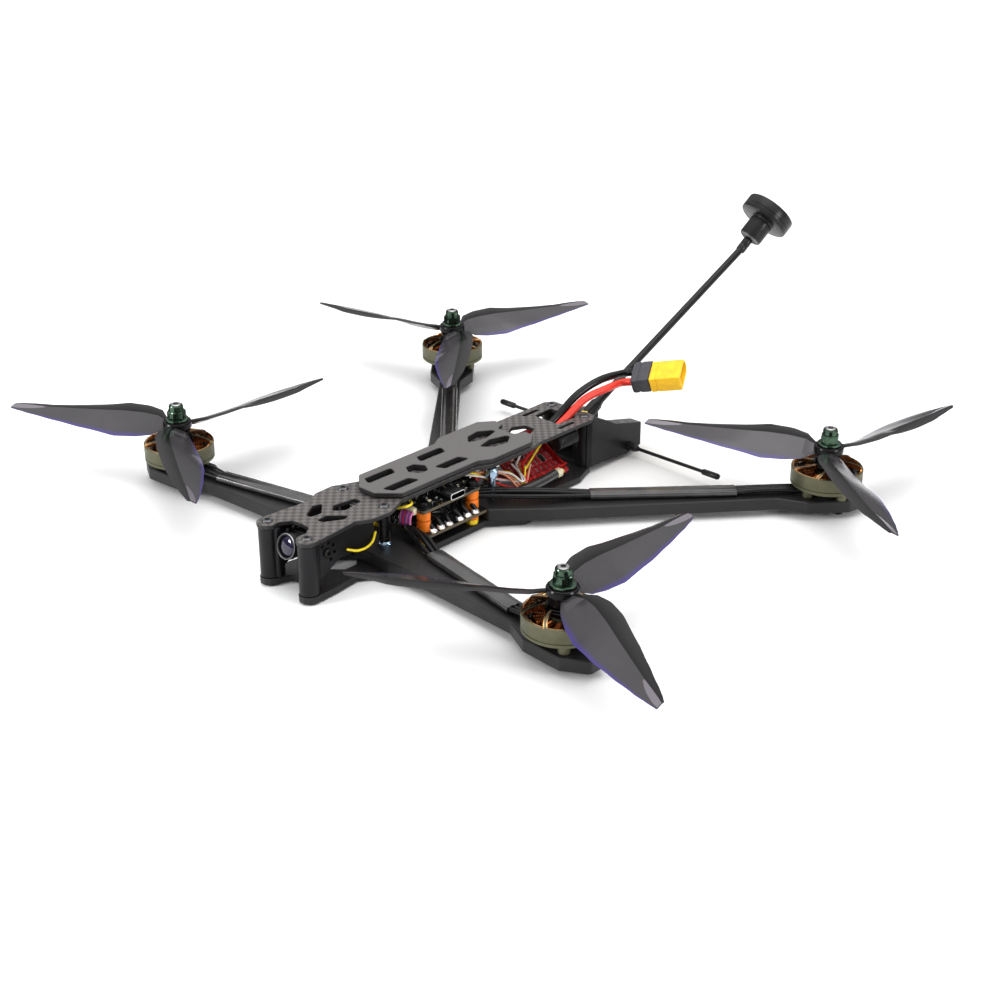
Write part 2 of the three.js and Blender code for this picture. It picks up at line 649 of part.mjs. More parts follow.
function bladeEdges(r) {
  const next = bladeStations.findIndex((station) => station.r >= r);
  const b = bladeStations[Math.max(next, 1)];
  const a = bladeStations[Math.max(next, 1) - 1];
  const t = (r - a.r) / (b.r - a.r);
  return [THREE.MathUtils.lerp(a.lead, b.lead, t), THREE.MathUtils.lerp(a.trail, b.trail, t)];
}

// One blade along +X: a cylinder whose rings become thin twisted sections.
function blade(spin) {
  const root = bladeStations[0].r;
  const geometry = new THREE.CylinderGeometry(1, 1, 1, 8, 9);
  const place = geometry.getAttribute('position');
  for (let i = 0; i < place.count; i += 1) {
    const chord = place.getX(i);
    const thick = place.getZ(i);
    const t = place.getY(i) + 0.5;
    const r = THREE.MathUtils.lerp(root, PROP_RADIUS, t);
    const [lead, trail] = bladeEdges(r);
    const across = (lead + trail) / 2 + chord * (lead - trail) / 2;
    const twist = BLADE_PITCH / (2 * Math.PI * Math.max(r, 30));
    const slant = 2.8 * (chord + 1) / 2 * t ** 6;
    const z = (across - (lead + trail) / 2) * twist + thick * THREE.MathUtils.lerp(1.1, 0.45, t);
    place.setXYZ(i, r - slant, spin * across, BLADE_HEIGHT + z);
  }
  return solid(geometry);
}

function propeller(spin) {
  const hub = bored([
    [HUB_BORE, HUB_UNDER], [7.2, HUB_UNDER], [7.5, HUB_UNDER + 1], [7.5, HUB_TOP], [HUB_BORE, HUB_TOP],
  ], 16);
  const bore = rod(0, 0, HUB_BORE, HUB_UNDER - 4, HUB_TOP + 4, 16);
  const blades = [0, 120, 240].map((angle) => blade(spin).rotate([0, 0, angle]));
  return cut(union(hub, ...blades), bore);
}

function propNut() {
  const [collar, shoulder, top] = [HUB_TOP + 1.4, HUB_TOP + 5.2, HUB_TOP + 6.4];
  const flange = bored([
    [HUB_BORE, HUB_TOP], [5.2, HUB_TOP], [5.2, collar - 0.5], [4.4, collar], [HUB_BORE, collar],
  ], 16);
  const hexagon = bored([
    [HUB_BORE, collar - 0.2], [4.5, collar - 0.2], [4.5, shoulder], [3.7, top], [HUB_BORE, top],
  ], 6);
  return union(flange, hexagon);
}

// ---- assembly ----

const group = new THREE.Group();
const add = (name, body, look) => group.add(named(name, body, look));
const sideName = (side) => (side > 0 ? 'left' : 'right');

add('bottom_plate', bottomPlate(), carbon());
add('top_plate', topPlate(), carbon());
add('battery_pad', batteryPad(), material(0x101011, 0.9, 0));
add('battery_plate', batteryPlate(), carbon());

for (const side of [1, -1]) {
  const where = sideName(side);
  add(`arm_front_${where}`, frontArm(side), carbon());
  add(`arm_rear_${where}`, rearArm(side), carbon());
  add(`wire_sleeve_front_${where}`, sleeve(true, side), blackPlastic());
  add(`wire_sleeve_rear_${where}`, sleeve(false, side), blackPlastic());
  add(`camera_side_${where}`, cameraSide(side), blackPlastic());
  add(`front_bolt_${where}`, frontBolt(side), blueSteel());
  add(`rear_bolt_${where}`, rearBolt(side), blueSteel());
  add(`front_column_${where}`, frontColumn(side), blackPlastic());
  add(`rear_column_${where}`, rearColumn(side), blackPlastic());
  add(`receiver_antenna_${where}`, aerial(side), blackPlastic());
}

const camera = new THREE.Group();
camera.position.set(...CAMERA_PIVOT);
camera.rotation.x = THREE.MathUtils.degToRad(90 - CAMERA_TILT);
camera.add(named('camera_housing', cameraHousing(), blackPlastic()));
camera.add(named('camera_lens', cameraLens(), material(0x30283c, 0.05, 0)));
group.add(camera);

const postNames = ['front_left', 'rear_left', 'front_right', 'rear_right'];
postNames.forEach((where, i) => {
  add(`stack_post_${where}`, stackPost(stackPlaces[i]), material(0xe8720c, 0.5, 0));
});
add('speed_controller', speedController(), boardBlack());
add('flight_controller', flightController(), boardBlack());

const transmitter = named('video_transmitter', videoTransmitter(), material(0x8c1d1f, 0.5, 0.2));
transmitter.rotation.y = THREE.MathUtils.degToRad(28);
transmitter.position.set(0, 20, 11.5);
group.add(transmitter);
add('radio_receiver', block(-14.5, -4, 22, 36, BOTTOM_TOP, 6.5), boardBlack());
add('capacitor', rod(0, 0, 4, 0, 14, 14).rotate([-90, 0, 0]).translate([11.3, 27, 21.5]), blackPlastic());

add('antenna_mount', antennaMount(), blackPlastic());
add('video_antenna_stalk', antennaStalk(), blackPlastic());
add('video_antenna_head', antennaHead(), blackPlastic());

group.add(placePlug(named('plug_body', plugBody(), material(0xf5b51c, 0.45, 0))));
group.add(placePlug(named('plug_cap', plugCap(), material(0x4a4a52, 0.6, 0))));
group.add(placePlug(named('plug_pin_black', plugPin(PIN_OFFSET), material(0xc9a24a, 0.3, 0.9))));
group.add(placePlug(named('plug_pin_red', plugPin(-PIN_OFFSET), material(0xc9a24a, 0.3, 0.9))));
add('battery_lead_black', lead(PIN_OFFSET), material(0x151517, 0.5, 0));
add('battery_lead_red', lead(-PIN_OFFSET), material(0xd8362c, 0.5, 0));

for (const [where, spin] of Object.entries(rotorSpin)) {
  const motor = new THREE.Group();
  const isFront = where.startsWith('front');
  const isLeft = where.endsWith('left');
  motor.position.set(isLeft ? MOTOR_X : -MOTOR_X, isFront ? -MOTOR_Y : MOTOR_Y, 0);
  const blades = propeller(spin).rotate([0, 0, bladeAngle[where]]);
  motor.add(named(`motor_base_${where}`, motorBase(), material(0x5c3a1e, 0.5, 0.6)));
  motor.add(named(`motor_bell_${where}`, motorBell(), material(0x5f6247, 0.45, 0.6)));
  motor.add(named(`propeller_${where}`, blades, material(0x222126, 0.35, 0)));
  motor.add(named(`prop_nut_${where}`, propNut(), material(0x3f7a5c, 0.3, 0.8)));
  group.add(motor);
}

export default group;
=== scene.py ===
import json
import math
import random
from collections import Counter

import bmesh
import bpy
from mathutils import Matrix, Vector


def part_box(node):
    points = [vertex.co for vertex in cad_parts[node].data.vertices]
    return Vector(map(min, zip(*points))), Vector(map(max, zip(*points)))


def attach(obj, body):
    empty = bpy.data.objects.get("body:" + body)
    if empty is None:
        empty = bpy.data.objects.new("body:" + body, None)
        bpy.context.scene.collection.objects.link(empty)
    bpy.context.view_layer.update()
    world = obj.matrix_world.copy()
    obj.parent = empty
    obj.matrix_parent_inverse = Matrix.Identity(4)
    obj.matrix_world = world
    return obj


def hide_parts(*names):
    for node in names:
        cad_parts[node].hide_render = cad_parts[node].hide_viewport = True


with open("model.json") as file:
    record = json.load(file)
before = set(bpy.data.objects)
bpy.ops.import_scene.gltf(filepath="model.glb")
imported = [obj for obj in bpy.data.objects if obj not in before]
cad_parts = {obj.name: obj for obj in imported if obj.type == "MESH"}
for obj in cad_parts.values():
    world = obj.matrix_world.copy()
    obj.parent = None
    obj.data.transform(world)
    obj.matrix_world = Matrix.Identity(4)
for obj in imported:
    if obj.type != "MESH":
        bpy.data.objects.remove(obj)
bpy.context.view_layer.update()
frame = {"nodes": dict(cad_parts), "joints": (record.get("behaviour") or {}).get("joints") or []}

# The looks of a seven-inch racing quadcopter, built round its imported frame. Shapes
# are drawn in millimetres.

MM = 0.001
LEFT, RIGHT = 1, -1
CORNERS = ("front_left", "front_right", "rear_left", "rear_right")


# ---- places, read from the frame ----

def low(node):
    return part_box(node)[0] / MM


def high(node):
    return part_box(node)[1] / MM


def middle(node):
    return (low(node) + high(node)) / 2


def pivot(joint):
    """Where a joint turns, in millimetres."""
    found = next(j for j in frame["joints"] if j["name"] == joint)
    return Vector(found["pos_m"]) / MM


PLATE_TOP = high("bottom_plate").z
ARM_TOP = high("arm_front_left").z
ROOF = low("top_plate").z
ROOF_TOP = high("top_plate").z
DECK_TOP = high("battery_plate").z
STACK = middle("flight_controller")
POST = middle("stack_post_rear_left")
FRONT_BOLT = middle("front_bolt_left")
REAR_BOLT = middle("rear_bolt_left")
REAR_COLUMN = middle("rear_column_left")
CAMERA = pivot("camera_tilt")
CAMERA_FACE = 75

ANTENNA_BASE = Vector((0, 66.5, 23.2))
ANTENNA_RISE = 24.6
STALK_LENGTH = 134
FERRULE_LENGTH = 7
HEAD_RISE = 43
HEAD_YAW = -14
PLUG_ROOT = (14, 83, 40.2)
PLUG_TURN = (20, -11.5, 25)
PIN_OFFSET = 3.6
TRANSMITTER_SEAT = (0, 20, 11.5)
TRANSMITTER_LEAN = 28


# ---- placing ----

def move(x, y, z=0.0):
    return Matrix.Translation((x, y, z))


def turn(degrees, axis="Z"):
    return Matrix.Rotation(math.radians(degrees), 4, axis)


def mirror():
    return Matrix.Scale(-1, 4, (1, 0, 0))


STILL = Matrix.Identity(4)


# ---- outlines: lists of (x, y), counter-clockwise ----

def circle(radius, count=32):
    step = 2 * math.pi / count
    return [(radius * math.cos(i * step), radius * math.sin(i * step)) for i in range(count)]


def hexagon(radius, count=24):
    """A hexagon with extra points along its sides, so that it skins to a circle of the same count."""
    points = []
    for i in range(count):
        angle = 2 * math.pi * i / count
        within = angle % (math.pi / 3) - math.pi / 6
        reach = radius * math.cos(math.pi / 6) / math.cos(within)
        points.append((reach * math.cos(angle), reach * math.sin(angle)))
    return points


def rectangle(x0, x1, y0, y1):
    return [(x0, y0), (x1, y0), (x1, y1), (x0, y1)]


def area(outline):
    return sum(a[0] * b[1] - b[0] * a[1] for a, b in zip(outline, outline[1:] + outline[:1])) / 2


def inset(outline, depth):
    """The outline moved inwards by depth."""
    sign = 1 if area(outline) > 0 else -1
    moved = []
    for i, point in enumerate(outline):
        here = Vector(point)
        into = (here - Vector(outline[i - 1])).normalized()
        out = (Vector(outline[(i + 1) % len(outline)]) - here).normalized()
        normal_in = Vector((-into.y, into.x)) * sign
        normal_out = Vector((-out.y, out.x)) * sign
        share = max(1 + normal_in.dot(normal_out), 0.4)
        moved.append(tuple(here + (normal_in + normal_out) * depth / share))
    return moved


def fillet(outline, radius, steps=4):
    """The outline with its corners rounded as far as their sides allow."""
    rounded = []
    for i, point in enumerate(outline):
        here = Vector(point)
        back = Vector(outline[i - 1]) - here
        ahead = Vector(outline[(i + 1) % len(outline)]) - here
        half = back.angle(ahead) / 2
        reach = min(radius / math.tan(half), 0.48 * back.length, 0.48 * ahead.length)
        if reach < 0.02:
            rounded.append(tuple(here))
            continue
        start = here + back.normalized() * reach
        end = here + ahead.normalized() * reach
        for k in range(steps + 1):
            t = k / steps
            rounded.append(tuple(start * (1 - t) ** 2 + here * 2 * t * (1 - t) + end * t * t))
    return rounded


# ---- shapes: (points, faces) ----

def loft(rings, closed=False):
    """A skin over rings of equal count. Its ends are capped, or joined to each other if closed."""
    count = len(rings[0])
    points = [tuple(p) for ring in rings for p in ring]
    faces = []
    spans = len(rings) if closed else len(rings) - 1
    for r in range(spans):
        a, b = r * count, (r + 1) % len(rings) * count
        for i in range(count):
            j = (i + 1) % count
            faces.append((a + i, a + j, b + j, b + i))
    if not closed:
        faces.append(tuple(reversed(range(count))))
        faces.append(tuple(range(len(points) - count, len(points))))
    return points, faces


def raised(outline, z):
    return [(x, y, z) for x, y in outline]


def slab(outline, bottom, top, bevel=0.2):
    """An outline raised between two heights, with chamfered rims."""
    small = inset(outline, bevel)
    return loft([
        raised(small, bottom), raised(outline, bottom + bevel),
        raised(outline, top - bevel), raised(small, top),
    ])


def brick(x0, x1, y0, y1, z0, z1, bevel=0.15, corner=0.3):
    return slab(fillet(rectangle(x0, x1, y0, y1), corner, 2), z0, z1, bevel)


def turned(profile, count=40, closed=False):
    """[radius, height] points turned about Z."""
    return loft([raised(circle(max(r, 0.01), count), z) for r, z in profile], closed)


def rod(radius, bottom, top, bevel=0.2, count=24):
    return turned([(radius - bevel, bottom), (radius, bottom + bevel), (radius, top - bevel),
                   (radius - bevel, top)], count)


def smooth(path, steps=6):
    """A Catmull-Rom curve through the points of a path."""
    points = [Vector(p) for p in path]
    ends = [2 * points[0] - points[1], *points, 2 * points[-1] - points[-2]]
    curve = []
    for a, b, c, d in zip(ends, ends[1:], ends[2:], ends[3:]):
        for k in range(steps):
            t = k / steps
            curve.append(0.5 * (2 * b + (c - a) * t + (2 * a - 5 * b + 4 * c - d) * t * t
                                + (3 * b - a - 3 * c + d) * t ** 3))
    return [*curve, points[-1]]


def along(curve):
    """Frames that follow a curve without twisting."""
    frames = []
    forward = (curve[1] - curve[0]).normalized()
    side = forward.orthogonal().normalized()
    for i, point in enumerate(curve):
        ahead = curve[min(i + 1, len(curve) - 1)] - curve[max(i - 1, 0)]
        side = (forward.rotation_difference(ahead) @ side).normalized()
        forward = ahead.normalized()
        frames.append((point, side, forward.cross(side)))
    return frames


def cord(path, radius, sides=10, steps=6, closed=False):
    """A round cord along a smooth path."""
    curve = smooth(path, steps) if steps else [Vector(p) for p in path]
    rings = [[point + side * x + up * y for x, y in circle(radius, sides)]
             for point, side, up in along(curve)]
    return loft(rings, closed)


def nut(radius, bottom, height, bore, collar=0.0):
    """A chamfered hexagon nut, with a lock collar on top when that has a height."""
    top = bottom + height
    rings = [
        raised(circle(radius * 0.9, 24), bottom), raised(hexagon(radius), bottom + 0.3),
        raised(hexagon(radius), top - 0.35), raised(circle(radius * 0.88, 24), top),
    ]
    if collar:
        rings += [raised(circle(radius * 0.8, 24), top + collar * 0.7),
                  raised(circle(radius * 0.7, 24), top + collar)]
    last = top + collar
    rings += [raised(circle(bore, 24), last), raised(circle(bore, 24), last - 0.7)]
    return loft(rings)


def button_head(radius, height, socket):
    """A domed screw head with a hexagon socket, standing on z = 0."""
    dome = [(1.0, 0.0), (1.0, 0.25), (0.93, 0.62), (0.78, 0.9), (0.62, 1.0)]
    rings = [raised(circle(radius * r, 24), height * z) for r, z in dome]
    rings += [raised(hexagon(socket * 1.06), height), raised(hexagon(socket), height - 0.15),
              raised(hexagon(socket), height * 0.35)]
    return loft(rings)


def cut_plate(loops, bottom, top, bevel=0.2):
    """A plate with openings: the first loop is its outline, the others are holes."""
    curve = bpy.data.curves.new("plate", "CURVE")
    curve.dimensions = "2D"
    curve.fill_mode = "BOTH"
    curve.extrude = (top - bottom) / 2 - bevel
    curve.bevel_depth = bevel
    curve.bevel_resolution = 0
    curve.offset = -bevel
    for loop in loops:
        spline = curve.splines.new("POLY")
        spline.points.add(len(loop) - 1)
        spline.use_cyclic_u = True
        for point, (x, y) in zip(spline.points, loop):
            point.co = (x, y, 0, 1)
    holder = bpy.data.objects.new("plate", curve)
    bpy.context.scene.collection.objects.link(holder)
    bpy.context.view_layer.update()
    mesh = bpy.data.meshes.new_from_object(holder.evaluated_get(bpy.context.evaluated_depsgraph_get()))
    bpy.data.objects.remove(holder)
    points = [tuple(v.co + Vector((0, 0, (bottom + top) / 2))) for v in mesh.vertices]
    faces = [tuple(p.vertices) for p in mesh.polygons]
    bpy.data.meshes.remove(mesh)
    return points, faces


# ---- outlines of the frame's own plates ----

def top_loops(node):
    """The outline and holes of a node's top face, longest first."""
    mesh = frame["nodes"][node].data
    top = high(node).z
    sides = Counter()
    for face in mesh.polygons:
        corners = [tuple(round(c / MM, 3) for c in mesh.vertices[i].co) for i in face.vertices]
        if all(abs(corner[2] - top) < 0.01 for corner in corners):
            for a, b in zip(corners, corners[1:] + corners[:1]):
                sides[a[:2], b[:2]] += 1
    following = {a: b for a, b in sides if (b, a) not in sides}
    loops = []
    while following:
        start, here = following.popitem()
        loop = [start]
        while here != start:
            loop.append(here)
            here = following.pop(here)
        loops.append(straightened(loop))
    return sorted(loops, key=lambda loop: -abs(area(loop)))


def straightened(loop):
    """The loop without points that lie on a straight side."""
    kept = []
    for i, point in enumerate(loop):
        back = Vector(point) - Vector(loop[i - 1])
        ahead = Vector(loop[(i + 1) % len(loop)]) - Vector(point)
        if back.length > 0 and ahead.length > 0 and back.angle(ahead) > 0.01:
            kept.append(point)
    return kept


def rounded_loop(loop, radius):
    """A true circle for a drilled hole, and rounded corners for anything else."""
    centre = sum((Vector(p) for p in loop), Vector((0, 0))) / len(loop)
    reaches = [(Vector(p) - centre).length for p in loop]
    if len(loop) > 6 and max(reaches) < 1.02 * min(reaches):
        return [(centre.x + x, centre.y + y) for x, y in circle(max(reaches), 28)]
    return fillet(loop, radius)


def plate_of(node, corner=1.4, bevel=0.25):
    loops = [rounded_loop(loop, corner) for loop in top_loops(node)]
    return cut_plate(loops, low(node).z, high(node).z, bevel)


# ---- materials ----

class Look:
    """A procedural material: a shader whose colour, roughness and bump come from nodes."""

    def __init__(self, name, color, rough, metal=0.0, **inputs):
        self.material = bpy.data.materials.new(name)
        self.material.use_nodes = True
        self.tree = self.material.node_tree
        self.shader = self.tree.nodes["Principled BSDF"]
        self.shader.inputs["Metallic"].default_value = metal
        for key, value in inputs.items():
            self.shader.inputs[key.replace("_", " ")].default_value = value
        self.place = self.node("ShaderNodeTexCoord").outputs["Object"]
        self.color = self.rgb(color)
        self.rough = self.value(rough)
        self.height = None

    def node(self, kind, **settings):
        made = self.tree.nodes.new(kind)
        for key, value in settings.items():
            setattr(made, key, value)
        return made

    def wire(self, source, target):
        self.tree.links.new(source, target)

    def rgb(self, color):
        made = self.node("ShaderNodeRGB")
        made.outputs[0].default_value = (*color, 1)
        return made.outputs[0]

    def value(self, number):
        made = self.node("ShaderNodeValue")
        made.outputs[0].default_value = number
        return made.outputs[0]

    def maths(self, operation, *inputs):
        made = self.node("ShaderNodeMath", operation=operation)
        for socket, source in zip(made.inputs, inputs):
            if isinstance(source, (int, float)):
                socket.default_value = source
            else:
                self.wire(source, socket)
        return made.outputs[0]

    def noise(self, size, detail=3.0, stretch=(1, 1, 1)):
        """Noise from 0 to 1 whose spots are about size millimetres across."""
        mapping = self.node("ShaderNodeMapping")
        mapping.inputs["Scale"].default_value = stretch
        self.wire(self.place, mapping.inputs["Vector"])
        made = self.node("ShaderNodeTexNoise")
        made.inputs["Scale"].default_value = 1 / (size * MM)
        made.inputs["Detail"].default_value = detail
        self.wire(mapping.outputs[0], made.inputs["Vector"])
        return made.outputs["Fac"]

    def blend(self, amount, first, second):
        made = self.node("ShaderNodeMix", data_type="RGBA")
        self.wire(amount, made.inputs["Factor"])
        self.wire(first, made.inputs["A"])
        self.wire(second, made.inputs["B"])
        return made.outputs["Result"]

    def spread(self, source, start, end, low_value, high_value):
        made = self.node("ShaderNodeMapRange")
        for key, number in (("From Min", start), ("From Max", end), ("To Min", low_value),
                            ("To Max", high_value)):
            made.inputs[key].default_value = number
        self.wire(source, made.inputs["Value"])
        return made.outputs["Result"]

    def mottle(self, color, size, detail=3.0, stretch=(1, 1, 1)):
        """Another colour in soft patches."""
        amount = self.spread(self.noise(size, detail, stretch), 0.35, 0.7, 0, 1)
        self.color = self.blend(amount, self.color, self.rgb(color))
        return self

    def scuff(self, size, amount):
        """Roughness that varies by amount either way."""
        varied = self.spread(self.noise(size, 2.0), 0.3, 0.7, -amount, amount)
        self.rough = self.maths("ADD", self.rough, varied)
        return self

    def painted_edge_highlight(self, color, share=0.5):
        """Painted highlight: another colour along convex edges, where they catch the light."""
        edge = self.node("ShaderNodeNewGeometry").outputs["Pointiness"]
        amount = self.spread(edge, 0.52, 0.6, 0, share)
        self.color = self.blend(amount, self.color, self.rgb(color))
        return self

    def bump(self, source, depth):
        """Adds a relief of depth millimetres, from a source of 0 to 1."""
        relief = self.maths("MULTIPLY", source, depth)
        self.height = relief if self.height is None else self.maths("ADD", self.height, relief)
        return self

    def axis(self, name):
        split = self.node("ShaderNodeSeparateXYZ")
        self.wire(self.place, split.inputs[0])
        return self.maths("MULTIPLY", split.outputs[name], 1 / MM)

    def ripple(self, name, pitch):
        """A wave of 0 to 1 along an axis, one cycle each pitch millimetres."""
        phase = self.maths("MULTIPLY", self.axis(name), 2 * math.pi / pitch)
        return self.spread(self.maths("SINE", phase), -1, 1, 0, 1)

    def done(self):
        self.wire(self.color, self.shader.inputs["Base Color"])
        self.wire(self.rough, self.shader.inputs["Roughness"])
        if self.height is not None:
            made = self.node("ShaderNodeBump")
            made.inputs["Distance"].default_value = MM
            self.wire(self.height, made.inputs["Height"])
            self.wire(made.outputs[0], self.shader.inputs["Normal"])
        return self.material


def moulded(name, color, rough=0.45, grain=0.8, **inputs):
    """Moulded plastic or rubber: fine grain, uneven sheen and soft colour patches."""
    look = Look(name, color, rough, **inputs)
    lighter = tuple(min(1, c * 1.2 + 0.002) for c in color)
    look.mottle(lighter, 4.0).scuff(4.0, 0.04)
    return look.bump(look.noise(grain, 1.0), 0.004).done()


def metal(name, color, rough=0.3, **inputs):
    """Bare or plated metal with fine scratches."""
    look = Look(name, color, rough, 1.0, **inputs)
    darker = tuple(c * 0.72 for c in color)
    look.mottle(darker, 1.6).scuff(0.5, 0.1)
    return look.bump(look.noise(0.5, 2.0, (1, 1, 0.2)), 0.005).done()


def carbon_plate(name, strength, color, shade):
    """Woven fibre on the flat faces and stacked layers on the cut edges."""
    look = Look(name, color, 0.42, Coat_Weight=0.2, Coat_Roughness=0.3)
    tow = 2.3
    across = look.maths("DIVIDE", look.axis("X"), tow)
    along_y = look.maths("DIVIDE", look.axis("Y"), tow)
    cell = look.maths("ADD", look.maths("FLOOR", across), look.maths("FLOOR", along_y))
    warp = look.maths("LESS_THAN", look.maths("FLOORED_MODULO", cell, 2), 1)
    crown_x = look.maths("PINGPONG", across, 0.5)
    crown_y = look.maths("PINGPONG", along_y, 0.5)
    crown = look.maths("ADD", look.maths("MULTIPLY", warp, crown_x),
                       look.maths("MULTIPLY", look.maths("SUBTRACT", 1, warp), crown_y))
    fibre_x = look.noise(0.5, 2.0, (0.12, 2.5, 1))
    fibre_y = look.noise(0.5, 2.0, (2.5, 0.12, 1))
    fibre = look.maths("ADD", look.maths("MULTIPLY", warp, fibre_y),
                       look.maths("MULTIPLY", look.maths("SUBTRACT", 1, warp), fibre_x))
    normal = look.node("ShaderNodeNewGeometry").outputs["Normal"]
    split = look.node("ShaderNodeSeparateXYZ")
    look.wire(normal, split.inputs[0])
    flat = look.spread(look.maths("ABSOLUTE", split.outputs["Z"]), 0.5, 0.9, 0, 1)
    weave = look.maths("MULTIPLY", look.spread(warp, 0, 1, 0, strength), flat)
    look.color = look.blend(weave, look.color, look.rgb(shade))
    layers = look.maths("MULTIPLY", look.ripple("Z", 0.4), look.maths("SUBTRACT", 1, flat))
    edge = look.maths("ADD", look.maths("MULTIPLY", layers, 0.15),
                      look.maths("MULTIPLY", look.maths("SUBTRACT", 1, flat), 0.84))
    look.color = look.blend(edge, look.color, look.rgb((0.009, 0.009, 0.01)))
    look.rough = look.maths("ADD", look.rough, look.maths("MULTIPLY", fibre, 0.12))
    look.bump(look.maths("MULTIPLY", crown, flat), 0.1 * strength)
    look.bump(layers, 0.02)
    return look.scuff(9.0, 0.05).done()


def printed(name, axis_name, pitch=0.3, color=(0.011, 0.0105, 0.0122)):
    """Black printed plastic with the lines of its layers."""
    look = Look(name, color, 0.34, Specular_IOR_Level=0.34)
    look.mottle((0.016, 0.0153, 0.0175), 6.0).scuff(3.0, 0.05)
    look.bump(look.ripple(axis_name, pitch), 0.012)
    return look.bump(look.noise(2.2), 0.004).done()


def windings_look():
    look = Look("copper_windings", (0.42, 0.15, 0.045), 0.28, 0.9)
    look.mottle((0.14, 0.045, 0.015), 1.1)
    return look.scuff(0.6, 0.1).bump(look.noise(0.3), 0.02).done()


def can_look():
    """Satin olive anodising with a faint turned finish, and a painted highlight along its convex edges."""
    look = Look("olive_can", (0.1, 0.106, 0.064), 0.4, 0.5)
    # painted highlight: a light beige blended along the can's convex edges
    look.mottle((0.078, 0.083, 0.05), 5.0).scuff(1.2, 0.08).painted_edge_highlight((0.3, 0.27, 0.18), 0.4)
    return look.bump(look.ripple("Z", 0.28), 0.012).done()


def blade_look():
    """Smoky plastic, greyer behind the crease and violet where it is thin, with painted shade along the drooped nose
    and on the underside, and a painted highlight on the tip facet.
    """
    look = Look("propeller_blade", (0.036, 0.033, 0.037), 0.22)
    tint_and_painted_light = look.node("ShaderNodeAttribute", attribute_name="tint_and_painted_light").outputs["Vector"]
    split = look.node("ShaderNodeSeparateXYZ")
    look.wire(tint_and_painted_light, split.inputs[0])
    look.wire(look.spread(split.outputs["Y"], 0, 1, 0.75, 0.26), look.shader.inputs["Specular IOR Level"])
    look.mottle((0.05, 0.045, 0.051), 22.0).scuff(8.0, 0.03)
    # painted shade: near black where the second channel is set, easing towards the leading edge
    look.color = look.blend(split.outputs["Y"], look.color, look.rgb((0.007, 0.006, 0.007)))
    # painted highlight: a lighter grey on the tip facet
    look.color = look.blend(split.outputs["Z"], look.color, look.rgb((0.17, 0.155, 0.18)))
    violet = look.spread(split.outputs["X"], 0.2, 1, 0, 0.95)
    look.color = look.blend(violet, look.color, look.rgb((0.05, 0.032, 0.22)))
    return look.bump(look.noise(12.0), 0.04).done()


def lens_look():
    """Coated glass whose colour changes from the middle to the rim: the violet in the middle is a painted reflection
    of the coating.
    """
    look = Look("lens_glass", (0.01, 0.008, 0.016), 0.06, Coat_Weight=0.6, Coat_Roughness=0.03)
    facing = look.node("ShaderNodeLayerWeight")
    facing.inputs["Blend"].default_value = 0.45
    # painted reflection: violet where the glass faces the viewer
    painted_coating_reflection, rim_tint = look.rgb((0.022, 0.012, 0.05)), look.rgb((0.006, 0.014, 0.018))
    look.color = look.blend(facing.outputs["Facing"], painted_coating_reflection, rim_tint)
    return look.scuff(1.5, 0.02).bump(look.noise(3.0), 0.01).done()


def sleeve_look():
    """Shrunk tube, satin, with small wrinkles along it."""
    look = Look("heat_shrink", (0.03, 0.028, 0.028), 0.2, Coat_Weight=1.0, Coat_Roughness=0.16)
    look.mottle((0.052, 0.049, 0.048), 9.0, 1.0).scuff(6.0, 0.05)
    return look.bump(look.noise(7.0, 0.0), 0.05).done()


